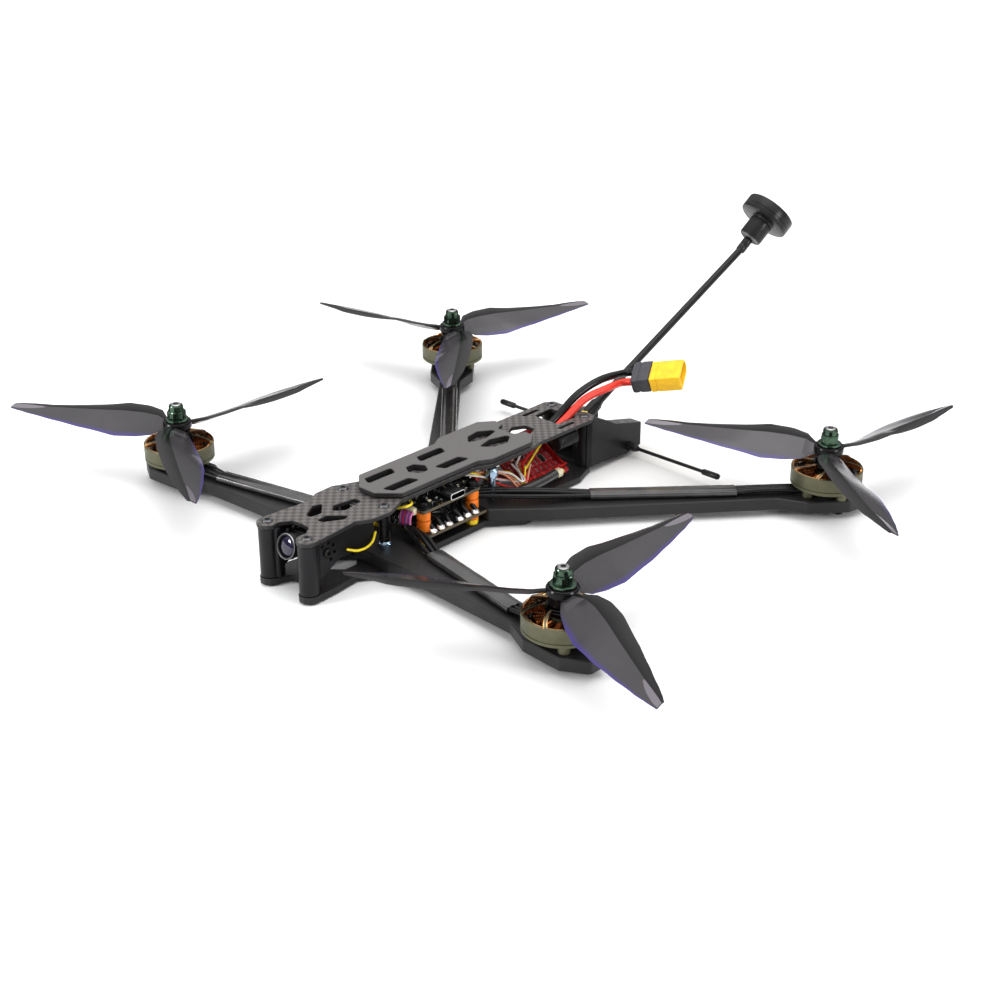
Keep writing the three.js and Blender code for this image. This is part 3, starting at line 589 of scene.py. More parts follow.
LOOKS = {
    "carbon": carbon_plate("carbon_weave", 0.9, (0.15, 0.139, 0.134), (0.066, 0.06, 0.058)),
    "carbon_deck": carbon_plate("carbon_matte", 0.1, (0.138, 0.129, 0.129), (0.11, 0.103, 0.103)),
    "carbon_dark": carbon_plate("carbon_floor", 0.5, (0.024, 0.023, 0.024), (0.012, 0.0115, 0.012)),
    "carbon_arm": carbon_plate("carbon_arm_edges", 0.3, (0.026, 0.0245, 0.025), (0.015, 0.0145, 0.015)),
    "rubber": moulded("black_rubber", (0.01, 0.01, 0.011), 0.7),
    "black": moulded("black_plastic", (0.009, 0.009, 0.01), 0.34, Specular_IOR_Level=0.35),
    "satin": moulded("satin_black", (0.012, 0.012, 0.013), 0.3, Specular_IOR_Level=0.4),
    "insulation": moulded("silicone_black", (0.007, 0.007, 0.008), 0.26, Specular_IOR_Level=0.4),
    "red_insulation": moulded("silicone_red", (0.66, 0.05, 0.03), 0.34),
    "printed": printed("printed_upright", "Z"),
    "printed_tail": printed("printed_tail", "Y"),
    "anodised": metal("black_anodised", (0.03, 0.03, 0.032), 0.3),
    "blue_zinc": metal("blue_zinc", (0.42, 0.55, 0.68), 0.24),
    "steel": metal("bright_steel", (0.55, 0.55, 0.55), 0.2),
    "ring": metal("bezel_grey", (0.19, 0.19, 0.2), 0.36),
    "dark_steel": metal("laminated_steel", (0.06, 0.055, 0.05), 0.45),
    "green": metal("green_anodised", (0.1, 0.155, 0.112), 0.2),
    "copper_trim": metal("copper_trim", (0.72, 0.42, 0.2), 0.22),
    "gold": metal("gold_contact", (0.8, 0.55, 0.18), 0.25),
    "solder": moulded("tinned_solder", (0.9, 0.9, 0.92), 0.2, 0.8, Metallic=0.75),
    "can": can_look(),
    "windings": windings_look(),
    "blade": blade_look(),
    "lens": lens_look(),
    "sleeve": sleeve_look(),
    "orange": moulded("orange_silicone", (0.82, 0.2, 0.01), 0.42, Subsurface_Weight=0.1),
    "amber": moulded("yellow_foot", (0.86, 0.62, 0.02), 0.4),
    "plug": moulded("yellow_nylon", (0.9, 0.52, 0.02), 0.36, 0.5, Subsurface_Weight=0.05),
    "plug_grey": moulded("grey_nylon", (0.062, 0.062, 0.07), 0.45, 0.5),
    "mask": moulded("solder_mask_black", (0.006, 0.007, 0.008), 0.26),
    "mask_red": moulded("solder_mask_red", (0.36, 0.025, 0.032), 0.34),
    "sink_red": metal("red_anodised", (0.74, 0.05, 0.045), 0.35),
    "laminate": moulded("board_edge", (0.1, 0.08, 0.048), 0.5),
    "chip": moulded("chip_body", (0.011, 0.011, 0.012), 0.42),
    "cream": moulded("cream_nylon", (0.72, 0.66, 0.48), 0.45),
    "white_wire": moulded("wire_white", (0.75, 0.73, 0.7), 0.35),
    "yellow_wire": moulded("wire_yellow", (0.84, 0.66, 0.03), 0.35),
    "tan_wire": moulded("wire_tan", (0.68, 0.32, 0.2), 0.35),
    "red_wire": moulded("wire_red", (0.6, 0.03, 0.03), 0.35),
    "pink_wire": moulded("wire_pink", (0.6, 0.16, 0.34), 0.35),
    "violet_wire": moulded("wire_violet", (0.2, 0.06, 0.32), 0.35),
    "magnet": metal("nickel_magnet", (0.4, 0.39, 0.37), 0.3),
}


# ---- pieces ----

class Piece:
    """One object of the visual model, put together from shapes with their own materials."""

    def __init__(self, name, body="airframe", slot=None, stands_for=()):
        self.name, self.body, self.slot, self.stands_for = name, body, slot, stands_for
        self.points, self.faces, self.looks, self.face_looks, self.tints_and_painted_light = [], [], [], [], []

    def add(self, shape, look, place=STILL, tints_and_painted_light=None):
        points, faces = shape
        first = len(self.points)
        self.points += [tuple(place @ Vector(p)) for p in points]
        self.faces += [tuple(first + i for i in face) for face in faces]
        if look not in self.looks:
            self.looks.append(look)
        self.face_looks += [self.looks.index(look)] * len(faces)
        self.tints_and_painted_light += tints_and_painted_light or [(0.0, 0.0, 0.0)] * len(points)
        return self

    def finish(self, crease=32):
        mesh = bpy.data.meshes.new(self.name)
        mesh.from_pydata([tuple(c * MM for c in p) for p in self.points], [], self.faces)
        mesh.polygons.foreach_set("material_index", self.face_looks)
        # per point: violet tint, painted shade and painted highlight, read by the blade material
        tint_and_painted_light = mesh.attributes.new("tint_and_painted_light", "FLOAT_VECTOR", "POINT")
        tint_and_painted_light.data.foreach_set("vector", [part for point in self.tints_and_painted_light for part in point])
        for look in self.looks:
            mesh.materials.append(LOOKS[look])
        tidy_mesh(mesh)
        mesh.shade_smooth()
        mesh.set_sharp_from_angle(angle=math.radians(crease))
        made = bpy.data.objects.new(self.name, mesh)
        bpy.context.scene.collection.objects.link(made)
        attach(made, self.body)
        if self.stands_for:
            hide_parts(*self.stands_for)
        return made


def tidy_mesh(mesh):
    """Merges doubled points, drops faces without area and turns every face outwards."""
    work = bmesh.new()
    work.from_mesh(mesh)
    bmesh.ops.remove_doubles(work, verts=work.verts, dist=0.002 * MM)
    bmesh.ops.dissolve_degenerate(work, edges=work.edges, dist=0.001 * MM)
    bmesh.ops.recalc_face_normals(work, faces=work.faces)
    work.to_mesh(mesh)
    work.free()


def both_sides(make):
    for side, where in ((LEFT, "left"), (RIGHT, "right")):
        make(side, where)


# ---- frame ----

def plates():
    for node, look, slot in (
        ("bottom_plate", "carbon_dark", "carbon_plate"), ("top_plate", "carbon", "carbon_plate"),
        ("battery_plate", "carbon_deck", "carbon_plate"), ("battery_pad", "rubber", "deck_rubber"),
    ):
        bevel = 0.12 if node == "battery_pad" else 0.25
        Piece(f"{node}_cut", slot=slot, stands_for=[node]).add(plate_of(node, 1.4, bevel), look).finish()


def arms():
    for where in CORNERS:
        node = "arm_" + where
        piece = Piece(f"{node}_cut", slot="carbon_arm", stands_for=[node])
        piece.add(plate_of(node, 2.6, 0.45), "carbon_arm").finish()


def sleeve_section(width, height, ridge):
    """A flat-bottomed tube section pushed up by three wires inside."""
    points = []
    for i in range(36):
        angle = 2 * math.pi * i / 36
        x = width * math.copysign(abs(math.cos(angle)) ** 0.55, math.cos(angle))
        z = height / 2 * (1 + math.copysign(abs(math.sin(angle)) ** 0.5, math.sin(angle)))
        if math.sin(angle) > 0:
            z -= ridge * (0.5 - 0.5 * math.cos(3 * math.pi * (x / width + 1))) * 0.5 + ridge * 0.15
        points.append((x, max(z, 0.0)))
    return points


def sleeve_ends(where):
    """The outer and inner end of a sleeve's centre line, and the height it lies at."""
    node = "wire_sleeve_" + where
    first, last = low(node), high(node)
    side = LEFT if where.endswith("left") else RIGHT
    margin = Vector((0.72, 3.95) if where.startswith("front") else (2.8, 3.0))
    outer_x, inner_x = (last.x - margin.x, first.x + margin.x) if side == LEFT else (
        first.x + margin.x, last.x - margin.x)
    outer_y, inner_y = (first.y + margin.y, last.y - margin.y) if where.startswith("front") else (
        last.y - margin.y, first.y + margin.y)
    return Vector((outer_x, outer_y, first.z)), Vector((inner_x, inner_y, first.z))


def sleeves(rng):
    for where in CORNERS:
        outer, inner = sleeve_ends(where)
        run = inner - outer
        across = Vector((-run.y, run.x, 0)).normalized()
        rings = []
        shares = [0.012, 0.0, 0.0, 0.01] + [k / 30 for k in range(1, 30)] + [0.99, 1.0, 1.0, 0.988]
        scales = [0.84, 0.84, 1.0, 1.0] + [1.0] * 29 + [1.0, 1.0, 0.84, 0.84]
        for share, scale in zip(shares, scales):
            wobble = 1 + 0.025 * rng.uniform(-1, 1) * (0.03 < share < 0.97)
            middle_point = outer + run * share
            lift = 0.3 * (1 - scale)
            section = sleeve_section(4.0 * wobble * scale, 3.45 * scale, 0.75)
            rings.append([middle_point + across * x + Vector((0, 0, z + lift)) for x, z in section])
        node = "wire_sleeve_" + where
        piece = Piece(f"{node}_tube", slot="heat_shrink", stands_for=[node])
        piece.add(loft(rings), "sleeve").finish(50)


def motor_wires():
    """Three wires from each motor to its sleeve, and from the sleeve to the speed controller."""
    edge = high("speed_controller").x - 1.6
    pad_top = high("speed_controller").z
    for where in CORNERS:
        outer, inner = sleeve_ends(where)
        side = LEFT if where.endswith("left") else RIGHT
        end = -1 if where.startswith("front") else 1
        motor = pivot("spin_" + where)
        run = (inner - outer).normalized()
        across = Vector((-run.y, run.x, 0))
        piece = Piece("motor_wires_" + where, slot="lead_black")
        for i, lane in enumerate((-1, 0, 1)):
            lane_side = lane * side * (1 if end < 0 else -1)
            start = outer + across * lane * 2.3 + Vector((0, 0, 1.7))
            foot = motor + (outer - motor).normalized() * 12.8 + across * lane * 2.6
            foot.z = ARM_TOP + 2.0
            bend = (start + foot) / 2 + Vector((0, 0, 0.5 + 0.4 * lane))
            piece.add(cord([foot, bend, start, start + run * 3], 1.15), "insulation")
            pad = Vector((side * edge, STACK.y + end * (3.4 + 5.0 * i), pad_top + 0.2))
            rise = pad + Vector((-side * 5.5, end * 0.8, 3.4))
            cross_y = STACK.y + end * (21 - i * 0.8)
            cross = Vector((side * (9.5 - 1.5 * lane_side), cross_y, pad_top + 3.2 - i * 0.5))
            leave = inner + across * lane * 2.3 + Vector((0, 0, 1.7))
            midway = (cross + leave) / 2 + across * lane * 1.3 + Vector((0, 0, 0.2 + 0.7 * (lane == 0)))
            path = [pad, rise, cross, midway, leave, leave - run * 3]
            piece.add(cord(path, 1.15, 10, 8), "insulation")
        piece.finish(60)


# ---- fasteners ----

def bolts(side, where):
    """Blue zinc bolts through the arm roots, their nuts, and the columns on the front ones."""
    x, y = side * FRONT_BOLT.x, FRONT_BOLT.y
    nut_top = high("front_bolt_left").z
    piece = Piece(f"front_bolt_{where}_nut", slot="blue_steel", stands_for=[f"front_bolt_{where}"])
    piece.add(rod(1.45, 0.2, nut_top), "blue_zinc", move(x, y))
    piece.add(sunk_head(2.75), "anodised", move(x, y))
    piece.add(nut(3.1, ARM_TOP, 2.5, 1.3, 0.9), "blue_zinc", move(x, y)).finish(30)

    piece = Piece(f"front_column_{where}_post", slot="black_column", stands_for=[f"front_column_{where}"])
    piece.add(column(nut_top, ROOF), "anodised", move(x, y))
    piece.add(roof_screw(), "ring", move(x, y, ROOF_TOP)).finish(30)

    x, y = side * REAR_BOLT.x, REAR_BOLT.y
    head_top = high("rear_bolt_left").z
    piece = Piece(f"rear_bolt_{where}_shaft", slot="blue_steel", stands_for=[f"rear_bolt_{where}"])
    piece.add(threaded(1.45, 0.2, head_top - 4), "blue_zinc", move(x, y))
    piece.add(rod(1.75, ARM_TOP, head_top - 4.6), "blue_zinc", move(x, y))
    piece.add(sunk_head(2.75), "anodised", move(x, y))
    piece.add(nut(3.1, head_top - 4.6, 3.4, 1.3, 1.2), "blue_zinc", move(x, y)).finish(30)

    x, y = side * REAR_COLUMN.x, REAR_COLUMN.y
    piece = Piece(f"rear_column_{where}_post", slot="black_column", stands_for=[f"rear_column_{where}"])
    piece.add(column(PLATE_TOP, ROOF), "anodised", move(x, y))
    piece.add(sunk_head(2.75), "anodised", move(x, y))
    piece.add(roof_screw(), "ring", move(x, y, ROOF_TOP)).finish(30)


def roof_screw():
    return button_head(2.35, 0.85, 1.15)


def sunk_head(radius):
    """A countersunk head seen from below, with its socket."""
    rings = [raised(circle(1.5, 24), 1.5), raised(circle(radius, 24), 0.25), raised(circle(radius, 24), 0.05),
             raised(circle(radius * 0.9, 24), 0.0), raised(hexagon(1.15), 0.0), raised(hexagon(1.1), 0.9)]
    return loft(rings)


def column(bottom, top):
    """A round standoff with a waist groove at each end."""
    return turned([(2.45, bottom), (2.7, bottom + 0.3), (2.7, bottom + 1.6), (2.5, bottom + 1.8),
                   (2.5, bottom + 2.3), (2.7, bottom + 2.5), (2.7, top - 2.5), (2.5, top - 2.3),
                   (2.5, top - 1.8), (2.7, top - 1.6), (2.7, top - 0.3), (2.45, top)], 32)


def threaded(radius, bottom, top, pitch=0.5):
    """A rod ringed like a screw thread."""
    profile = [(radius - 0.2, bottom)]
    count = int((top - bottom) / pitch)
    for i in range(count):
        z = bottom + (top - bottom) * i / count
        profile += [(radius, z + pitch * 0.35), (radius - 0.16, z + pitch * 0.8)]
    return turned([*profile, (radius - 0.2, top)], 16)


def motor_screws(where):
    """The heads of the four screws that come up through the arm into the motor."""
    motor = pivot("spin_" + where)
    holes = [loop for loop in top_loops("arm_" + where)[1:] if abs(area(loop)) < 20]
    piece = Piece("motor_screws_" + where, slot="black_column")
    bottom = low("arm_" + where).z
    for loop in holes:
        centre = sum((Vector(p) for p in loop), Vector((0, 0))) / len(loop)
        if (centre - motor.xy).length < 14:
            flipped = move(centre.x, centre.y, bottom) @ turn(180, "X")
            piece.add(button_head(2.6, 1.4, 1.1), "anodised", flipped)
            piece.add(rod(1.4, bottom + 0.05, ARM_TOP + 1.5), "steel", move(centre.x, centre.y))
    piece.finish(30)


# ---- camera bay ----

def camera_side(side, where):
    """Ribbed nose pillar, its side plate with the ring of tilt holes, and the screws."""
    node = f"camera_side_{where}"
    pillar_x, pillar_y = 12.5, low(node).y + 4.3
    place = STILL if side == LEFT else mirror()
    piece = Piece(f"{node}_print", slot="printed_plastic", stands_for=[node])
    for x, y, radius in ((pillar_x, pillar_y, 4.25), (pillar_x - 1.0, pillar_y + 4.2, 2.4),
                         (pillar_x - 4.0, pillar_y + 1.2, 1.5)):
        post = turned([(radius - 0.4, PLATE_TOP), (radius, PLATE_TOP + 0.5), (radius, ROOF - 0.5),
                       (radius - 0.4, ROOF)], 40)
        piece.add(post, "printed", place @ move(x, y))
    wall = [(pillar_y, PLATE_TOP), (pillar_y + 3.6, PLATE_TOP), (pillar_y + 4.8, 5.5), (-111, 12.6),
            (-94, 12.6), (-91, 15), (-91, ROOF), (pillar_y, ROOF)]
    holes = [[(CAMERA.y + 1.25 * x, CAMERA.z + 1.25 * z) for x, z in circle(1, 20)]]
    for angle in (-60, -15, 30, 75, 120):
        reach = Vector((4.4, 0))
        reach.rotate(Matrix.Rotation(math.radians(angle), 2))
        hole_y, hole_z = CAMERA.y + reach.x, CAMERA.z + reach.y
        holes.append([(hole_y + x, hole_z + z) for x, z in circle(0.85, 16)])
    upright = Matrix(((0, 0, 1, 0), (1, 0, 0, 0), (0, 1, 0, 0), (0, 0, 0, 1)))
    piece.add(cut_plate([fillet(wall, 1.6), *holes], 10, 12.2, 0.25), "printed", place @ upright)
    screw = move(12.2, CAMERA.y, CAMERA.z) @ turn(90, "Y")
    piece.add(button_head(2.1, 1.1, 0.9), "dark_steel", place @ screw).finish(30)
    screws = Piece(f"pillar_screws_{where}", slot="black_column")
    screws.add(roof_screw(), "ring", place @ move(pillar_x, pillar_y, ROOF_TOP))
    screws.add(sunk_head(2.75), "anodised", place @ move(pillar_x, pillar_y)).finish(30)


def camera():
    """The nose camera, drawn looking along +Z and then turned to face forwards."""
    place = Matrix.Translation(CAMERA) @ turn(CAMERA_FACE, "X")
    shell = Piece("camera_case", "camera", "camera_plastic", ["camera_housing"])
    shell.add(brick(-6.9, 6.9, -5.4, 5.4, -5.4, -0.8, 0.5, 1.2), "black", place)
    shell.add(brick(-6.9, 6.9, -5.4, 5.4, -0.6, 4.5, 0.5, 1.2), "black", place)
    shell.add(brick(-6.5, 6.5, -5.0, 5.0, -1.2, 0.0, 0.1, 1.0), "rubber", place)
    barrel = [(4.6, 4.2)]
    for i in range(6):
        barrel += [(5.15, 4.7 + 0.8 * i), (5.15, 5.15 + 0.8 * i), (4.9, 5.3 + 0.8 * i)]
    barrel += [(5.2, 9.6), (5.7, 9.9), (5.75, 12.1), (5.5, 12.4), (4.9, 12.4), (4.7, 12.2), (4.6, 10.9)]
    shell.add(turned(barrel, 48), "satin", place)
    bezel = [(5.0, 11.9), (5.05, 12.35), (5.3, 12.48), (5.65, 12.4), (5.74, 12.1), (5.6, 11.6)]
    shell.add(turned(bezel, 48, True), "ring", place)
    for end in (-1, 1):
        shell.add(rod(2.1, 6.8, 9.6, 0.2), "steel", place @ turn(end * 90, "Y"))
        shell.add(brick(-1.4, 1.4, -4.4, -3.0, -5.42, -5.2), "chip", place @ move(end * 3, 0))
    shell.finish(30)
    glass = Piece("camera_optics", "camera", "camera_glass", ["camera_lens"])
    glass.add(turned([(4.5, 10.8), (4.5, 11.3), (4.0, 11.75), (3.0, 12.1), (1.6, 12.34), (0.2, 12.42)], 48),
              "lens", place)
    glass.finish(50)


# ---- electronics ----

def board(piece, half_x, half_y, bottom, top, place):
    """A circuit board on the stack: masked faces with the laminate showing at its edge."""
    outline = fillet(rectangle(-half_x, half_x, -half_y, half_y), 2.0)
    skin, holes = inset(outline, 0.06), post_holes()
    piece.add(cut_plate([outline, *holes], bottom + 0.12, top - 0.12, 0.05), "laminate", place)
    piece.add(cut_plate([skin, *holes], top - 0.2, top, 0.04), "mask", place)
    piece.add(cut_plate([skin, *holes], bottom, bottom + 0.2, 0.04), "mask", place)


def scatter(piece, rng, count, reach_x, reach_y, top, taken, place=STILL):
    """Small parts at seeded places on a board, clear of each other."""
    looks = ("chip", "chip", "cream", "laminate", "solder")
    for _ in range(count * 6):
        if count == 0:
            break
        long, wide = rng.choice(((1.6, 0.8), (1.0, 0.5), (2.2, 1.4), (3.2, 1.8), (0.9, 0.9)))
        if rng.random() < 0.5:
            long, wide = wide, long
        x, y = rng.uniform(-reach_x, reach_x), rng.uniform(-reach_y, reach_y)
        if any(abs(x - a) < (long + c) / 2 + 0.25 and abs(y - b) < (wide + d) / 2 + 0.25
               for a, b, c, d in taken):
            continue
        taken.append((x, y, long, wide))
        tall = rng.uniform(0.35, 0.95)
        look = rng.choice(looks)
        body = brick(-long / 2, long / 2, -wide / 2, wide / 2, top - 0.05, top + tall, 0.08, 0.1)
        piece.add(body, look, place @ move(x, y))
        if look != "solder" and max(long, wide) < 1.7:
            ends = ((-1, 0), (1, 0)) if long > wide else ((0, -1), (0, 1))
            for ex, ey in ends:
                cx, cy = x + ex * long * 0.42, y + ey * wide * 0.42
                tip = brick(-0.22, 0.22, -0.22, 0.22, top - 0.05, top + tall + 0.04, 0.05, 0.06)
                piece.add(tip, "solder", place @ move(cx, cy))
        count -= 1


def leaded_chip(piece, x, y, half, top, tall, place):
    """A square chip with a row of legs on each side and a dimple in a corner."""
    piece.add(brick(x - half, x + half, y - half, y + half, top, top + tall, 0.15, 0.2), "chip", place)
    count = int(half * 2 / 0.75)
    for i in range(count):
        step = -half + 0.5 + i * (2 * half - 1) / (count - 1)
        for turned_by in range(4):
            leg = brick(half - 0.1, half + 0.55, step - 0.13, step + 0.13, top, top + 0.25, 0.05, 0.05)
            piece.add(leg, "solder", place @ move(x, y) @ turn(90 * turned_by))
    piece.add(rod(0.35, top + tall - 0.02, top + tall + 0.05, 0.02, 14), "cream",
              place @ move(x - half + 0.9, y + half - 0.9))


def socket_header(piece, x, y, pins, top, place, look="cream", facing=0):
    """A small wire connector: an open shell with pins inside."""
    wide = pins * 1.0 + 1.2
    at = place @ move(x, y) @ turn(facing)
    piece.add(brick(-wide / 2, wide / 2, -1.6, 1.6, top - 0.05, top + 0.5), look, at)
    piece.add(brick(-wide / 2, wide / 2, 1.15, 1.6, top + 0.4, top + 2.6), look, at)
    piece.add(brick(-wide / 2, wide / 2, -1.6, -1.15, top + 0.4, top + 2.6), look, at)
    for end in (-1, 1):
        wall = brick(-0.25, 0.25, -1.6, 1.6, top + 0.4, top + 2.6)
        piece.add(wall, look, at @ move(end * wide / 2, 0))
    for i in range(pins):
        pin = (i - (pins - 1) / 2) * 1.0
        piece.add(brick(pin - 0.18, pin + 0.18, -0.3, 0.3, top + 0.3, top + 1.9, 0.05, 0.08), "gold", at)


def post_holes(radius=1.75):
    half = POST.x
    return [[(half * sx + x, half * sy + y) for x, y in circle(radius, 20)]
            for sx in (-1, 1) for sy in (-1, 1)]


def speed_controller(rng):
    """Power board: transistors in two rows and heavy solder on the motor pads."""
    box_low, box_high = low("speed_controller"), high("speed_controller")
    top = box_low.z + 1.6
    here = move(0, STACK.y)
    piece = Piece("power_board", slot="circuit_black", stands_for=["speed_controller"])
    board(piece, box_high.x, box_high.y - STACK.y, box_low.z, top, here)
    taken = [(sx * POST.x, sy * POST.x, 7, 7) for sx in (-1, 1) for sy in (-1, 1)]
    for side in (-1, 1):
        for i in range(6):
            y = -13.75 + 5.5 * i
            at = here @ move(side * 7.5, y)
            piece.add(brick(-3, 3, -2.4, 2.4, top, top + 1.05, 0.15, 0.25), "chip", at)
            for leg in range(4):
                for reach in (-3.25, 3.25):
                    pin = brick(-0.35, 0.35, -0.22, 0.22, top, top + 0.3, 0.06, 0.06)
                    piece.add(pin, "solder", at @ move(reach, -1.9 + leg * 1.27))
            taken.append((side * 7.5, y, 7.6, 5.2))
    scatter(piece, rng, 46, 12, 18.5, top, taken, here)
    for side in (-1, 1):
        for end in (-1, 1):
            for i in range(3):
                y = end * (3.4 + 5.0 * i)
                solder_joint(piece, rng, here @ move(side * (box_high.x - 1.7), y, top), side)
    piece.finish(40)


def solder_joint(piece, rng, place, side):
    """A tinned pad with a lump of solder round the end of a wire, and the wire's bare strands."""
    piece.add(brick(-1.5, 1.5, -1.9, 1.9, -0.1, 0.12, 0.05, 0.4), "gold", place)
    rings = []
    for level, width in ((0.0, 1.0), (0.35, 0.98), (0.8, 0.84), (1.2, 0.62), (1.5, 0.3)):
        ring = []
        for x, y in circle(1, 16):
            wobble = 1 + rng.uniform(-0.09, 0.09)
            across = x * 1.75 * width * wobble - side * level * 0.7
            ring.append((across, y * 1.9 * width * wobble, 0.05 + level * 1.2))
        rings.append(ring)
    piece.add(loft(rings), "solder", place)
    strands = [(0.9 * side, rng.uniform(-0.5, 0.5), 0.6), (0, 0, 1.0), (-1.6 * side, 0, 1.5)]
    piece.add(cord(strands, 0.75, 8, 3), "solder", place)


def flight_controller(rng):
    """Control board: processor, sensor, connectors and a metal socket on the left edge."""
    box_low, box_high = low("flight_controller"), high("flight_controller")
    half = (high("flight_controller").y - low("flight_controller").y) / 2
    top = box_low.z + 1.6
    here = move(0, STACK.y)
    piece = Piece("control_board", slot="circuit_black", stands_for=["flight_controller"])
    board(piece, half, half, box_low.z, top, here)
    leaded_chip(piece, 0, -1, 4.4, top, 1.0, here)
    leaded_chip(piece, -8.5, 6, 2.2, top, 0.8, here)
    taken = [(sx * POST.x, sy * POST.x, 7, 7) for sx in (-1, 1) for sy in (-1, 1)]
    taken += [(0, -1, 11, 11), (-8.5, 6, 6, 6), (15.5, 2, 9, 11)]
    taken += [(0, -15.5, 16, 5), (0, 15.5, 16, 5), (-15.5, 0, 5, 14)]
    socket_header(piece, 0, -15.8, 6, top, here, "cream", 0)
    socket_header(piece, 0, 15.8, 6, top, here, "black", 0)
    socket_header(piece, -16, 0, 5, top, here, "black", 90)
    scatter(piece, rng, 80, 16.6, 16.6, top, taken, here)
    usb_socket(piece, here @ move(box_high.x - 3.7, 2, top + 0.05))
    for i in range(9):
        y = -8 + 2.0 * i
        if y < -4.5 or y > 8.5:
            pad = brick(half - 2.2, half - 0.5, y - 0.6, y + 0.6, top - 0.05, top + 0.06, 0.03, 0.2)
            piece.add(pad, "gold", here)
    piece.finish(40)


def usb_socket(piece, place):
    """A flattened metal tube, open towards +X, with its tongue inside."""
    outer = fillet(rectangle(-4.45, 4.45, 0, 3.05), 1.45, 5)
    inner = inset(outer, 0.28)
    upright = Matrix(((0, 0, 1, 0), (1, 0, 0, 0), (0, 1, 0, 0), (0, 0, 0, 1)))
    rings = [raised(outer, -3.4), raised(outer, 3.6), raised(inner, 3.68), raised(inner, -2.0)]
    piece.add(loft(rings), "ring", place @ upright)
    rim = [raised(outline, x) for outline, x in ((outer, 3.5), (outer, 3.75), (inner, 3.8), (inner, 3.4))]
    piece.add(loft(rim, True), "solder", place @ upright)
    piece.add(brick(-1.5, 2.6, -3.1, 3.1, 1.25, 1.8, 0.1, 0.2), "chip", place)


def stack_post(where):
    """A bolt with a yellow foot, two rubber sleeves and a black nut."""
    node = "stack_post_" + where
    centre = middle(node)
    esc_low, esc_top = low("speed_controller").z, low("speed_controller").z + 1.6
    fc_low, fc_top = low("flight_controller").z, low("flight_controller").z + 1.6
    place = move(centre.x, centre.y)
    piece = Piece(f"{node}_rubber", slot="orange_rubber", stands_for=[node])
    piece.add(sunk_head(2.7), "amber", place)
    piece.add(nut(3.15, PLATE_TOP, 2.2, 1.4), "amber", place)
    piece.add(bush(PLATE_TOP + 2.3, esc_low), "orange", place)
    middle_height = esc_top + (fc_low - esc_top) * 0.52
    piece.add(bush(esc_top, middle_height), "orange", place)
    piece.add(bush(middle_height + 0.25, fc_low), "orange", place)
    piece.add(rod(2.4, middle_height - 0.1, middle_height + 0.35, 0.05), "laminate", place)
    piece.add(rod(1.4, 0.5, high(node).z - 0.1), "anodised", place)
    piece.add(bush(fc_top, fc_top + 0.7), "black", place)
    piece.add(nut(2.85, fc_top + 0.7, 1.5, 1.35, 0.7), "anodised", place).finish(35)


def bush(bottom, top, radius=3.15):
    """A rubber sleeve with bulging sides."""
    profile = []
    for i in range(9):
        t = i / 8
        bulge = math.sin(math.pi * t)
        profile.append((radius - 0.28 + 0.28 * min(1, 2.2 * bulge), bottom + (top - bottom) * t))
    return turned(profile, 32)


def video_transmitter(rng):
    """Red board crowded with pads and chips, with a raised metal wall, leaning in the rear bay."""
    place = move(*TRANSMITTER_SEAT) @ turn(TRANSMITTER_LEAN, "Y")
    piece = Piece("transmitter_board", slot="circuit_red", stands_for=["video_transmitter"])
    piece.add(brick(-14.9, 14.9, -15.9, 15.9, 0, 1.6, 0.12, 1.2), "mask_red", place)
    for i in range(9):
        y = -13 + 3.25 * i
        for x in (-9.4, -3.2, 3.0, 9.2):
            long = rng.uniform(4.2, 5.6)
            piece.add(brick(x - long / 2, x + long / 2, y - 1.05, y + 1.05, 1.55, rng.uniform(2.4, 3.1), 0.12, 0.2),
                      "mask_red" if rng.random() < 0.88 else "chip", place)
            for k in range(5):
                px = x - 2.0 + k * 1.0
                for edge in (-1, 1):
                    pad = brick(px - 0.3, px + 0.3, y + edge * 1.35 - 0.27, y + edge * 1.35 + 0.27, 1.55, 2.3, 0.05, 0.08)
                    piece.add(pad, "solder" if rng.random() < 0.8 else "gold", place)
    piece.add(brick(11.6, 13.0, -14.3, 14.3, 1.5, 5.1, 0.3, 0.5), "sink_red", place)
    piece.add(brick(-13, 13, 12.4, 13.6, 1.5, 4.9, 0.3, 0.5), "sink_red", place)
    for y in (-9, -3, 3, 9):
        piece.add(brick(11.4, 13.2, y - 0.7, y + 0.7, 4.2, 5.15, 0.1, 0.2), "mask_red", place)
    socket_header(piece, -9, -12.6, 6, 1.6, place, "cream", 0)
    piece.finish(35)


def receiver(rng):
    """Small radio board with a metal can on it; the clear sleeve round it is not drawn."""
    box_low, box_high = low("radio_receiver"), high("radio_receiver")
    centre = (box_low + box_high) / 2
    half_x, half_y = (box_high.x - box_low.x) / 2, (box_high.y - box_low.y) / 2
    place = move(centre.x, centre.y)
    piece = Piece("receiver_board", slot="circuit_black", stands_for=["radio_receiver"])
    piece.add(brick(-half_x, half_x, -half_y, half_y, box_low.z + 0.1, box_low.z + 1.3, 0.1, 0.6), "mask", place)
    piece.add(brick(-3.6, 3.6, -4.6, 2.2, box_low.z + 1.25, box_high.z - 0.4, 0.3, 0.5), "steel", place)
    scatter(piece, rng, 12, half_x - 1, half_y - 1, box_low.z + 1.3, [(0, -1.2, 8, 7.6)], place)
    piece.finish(40)


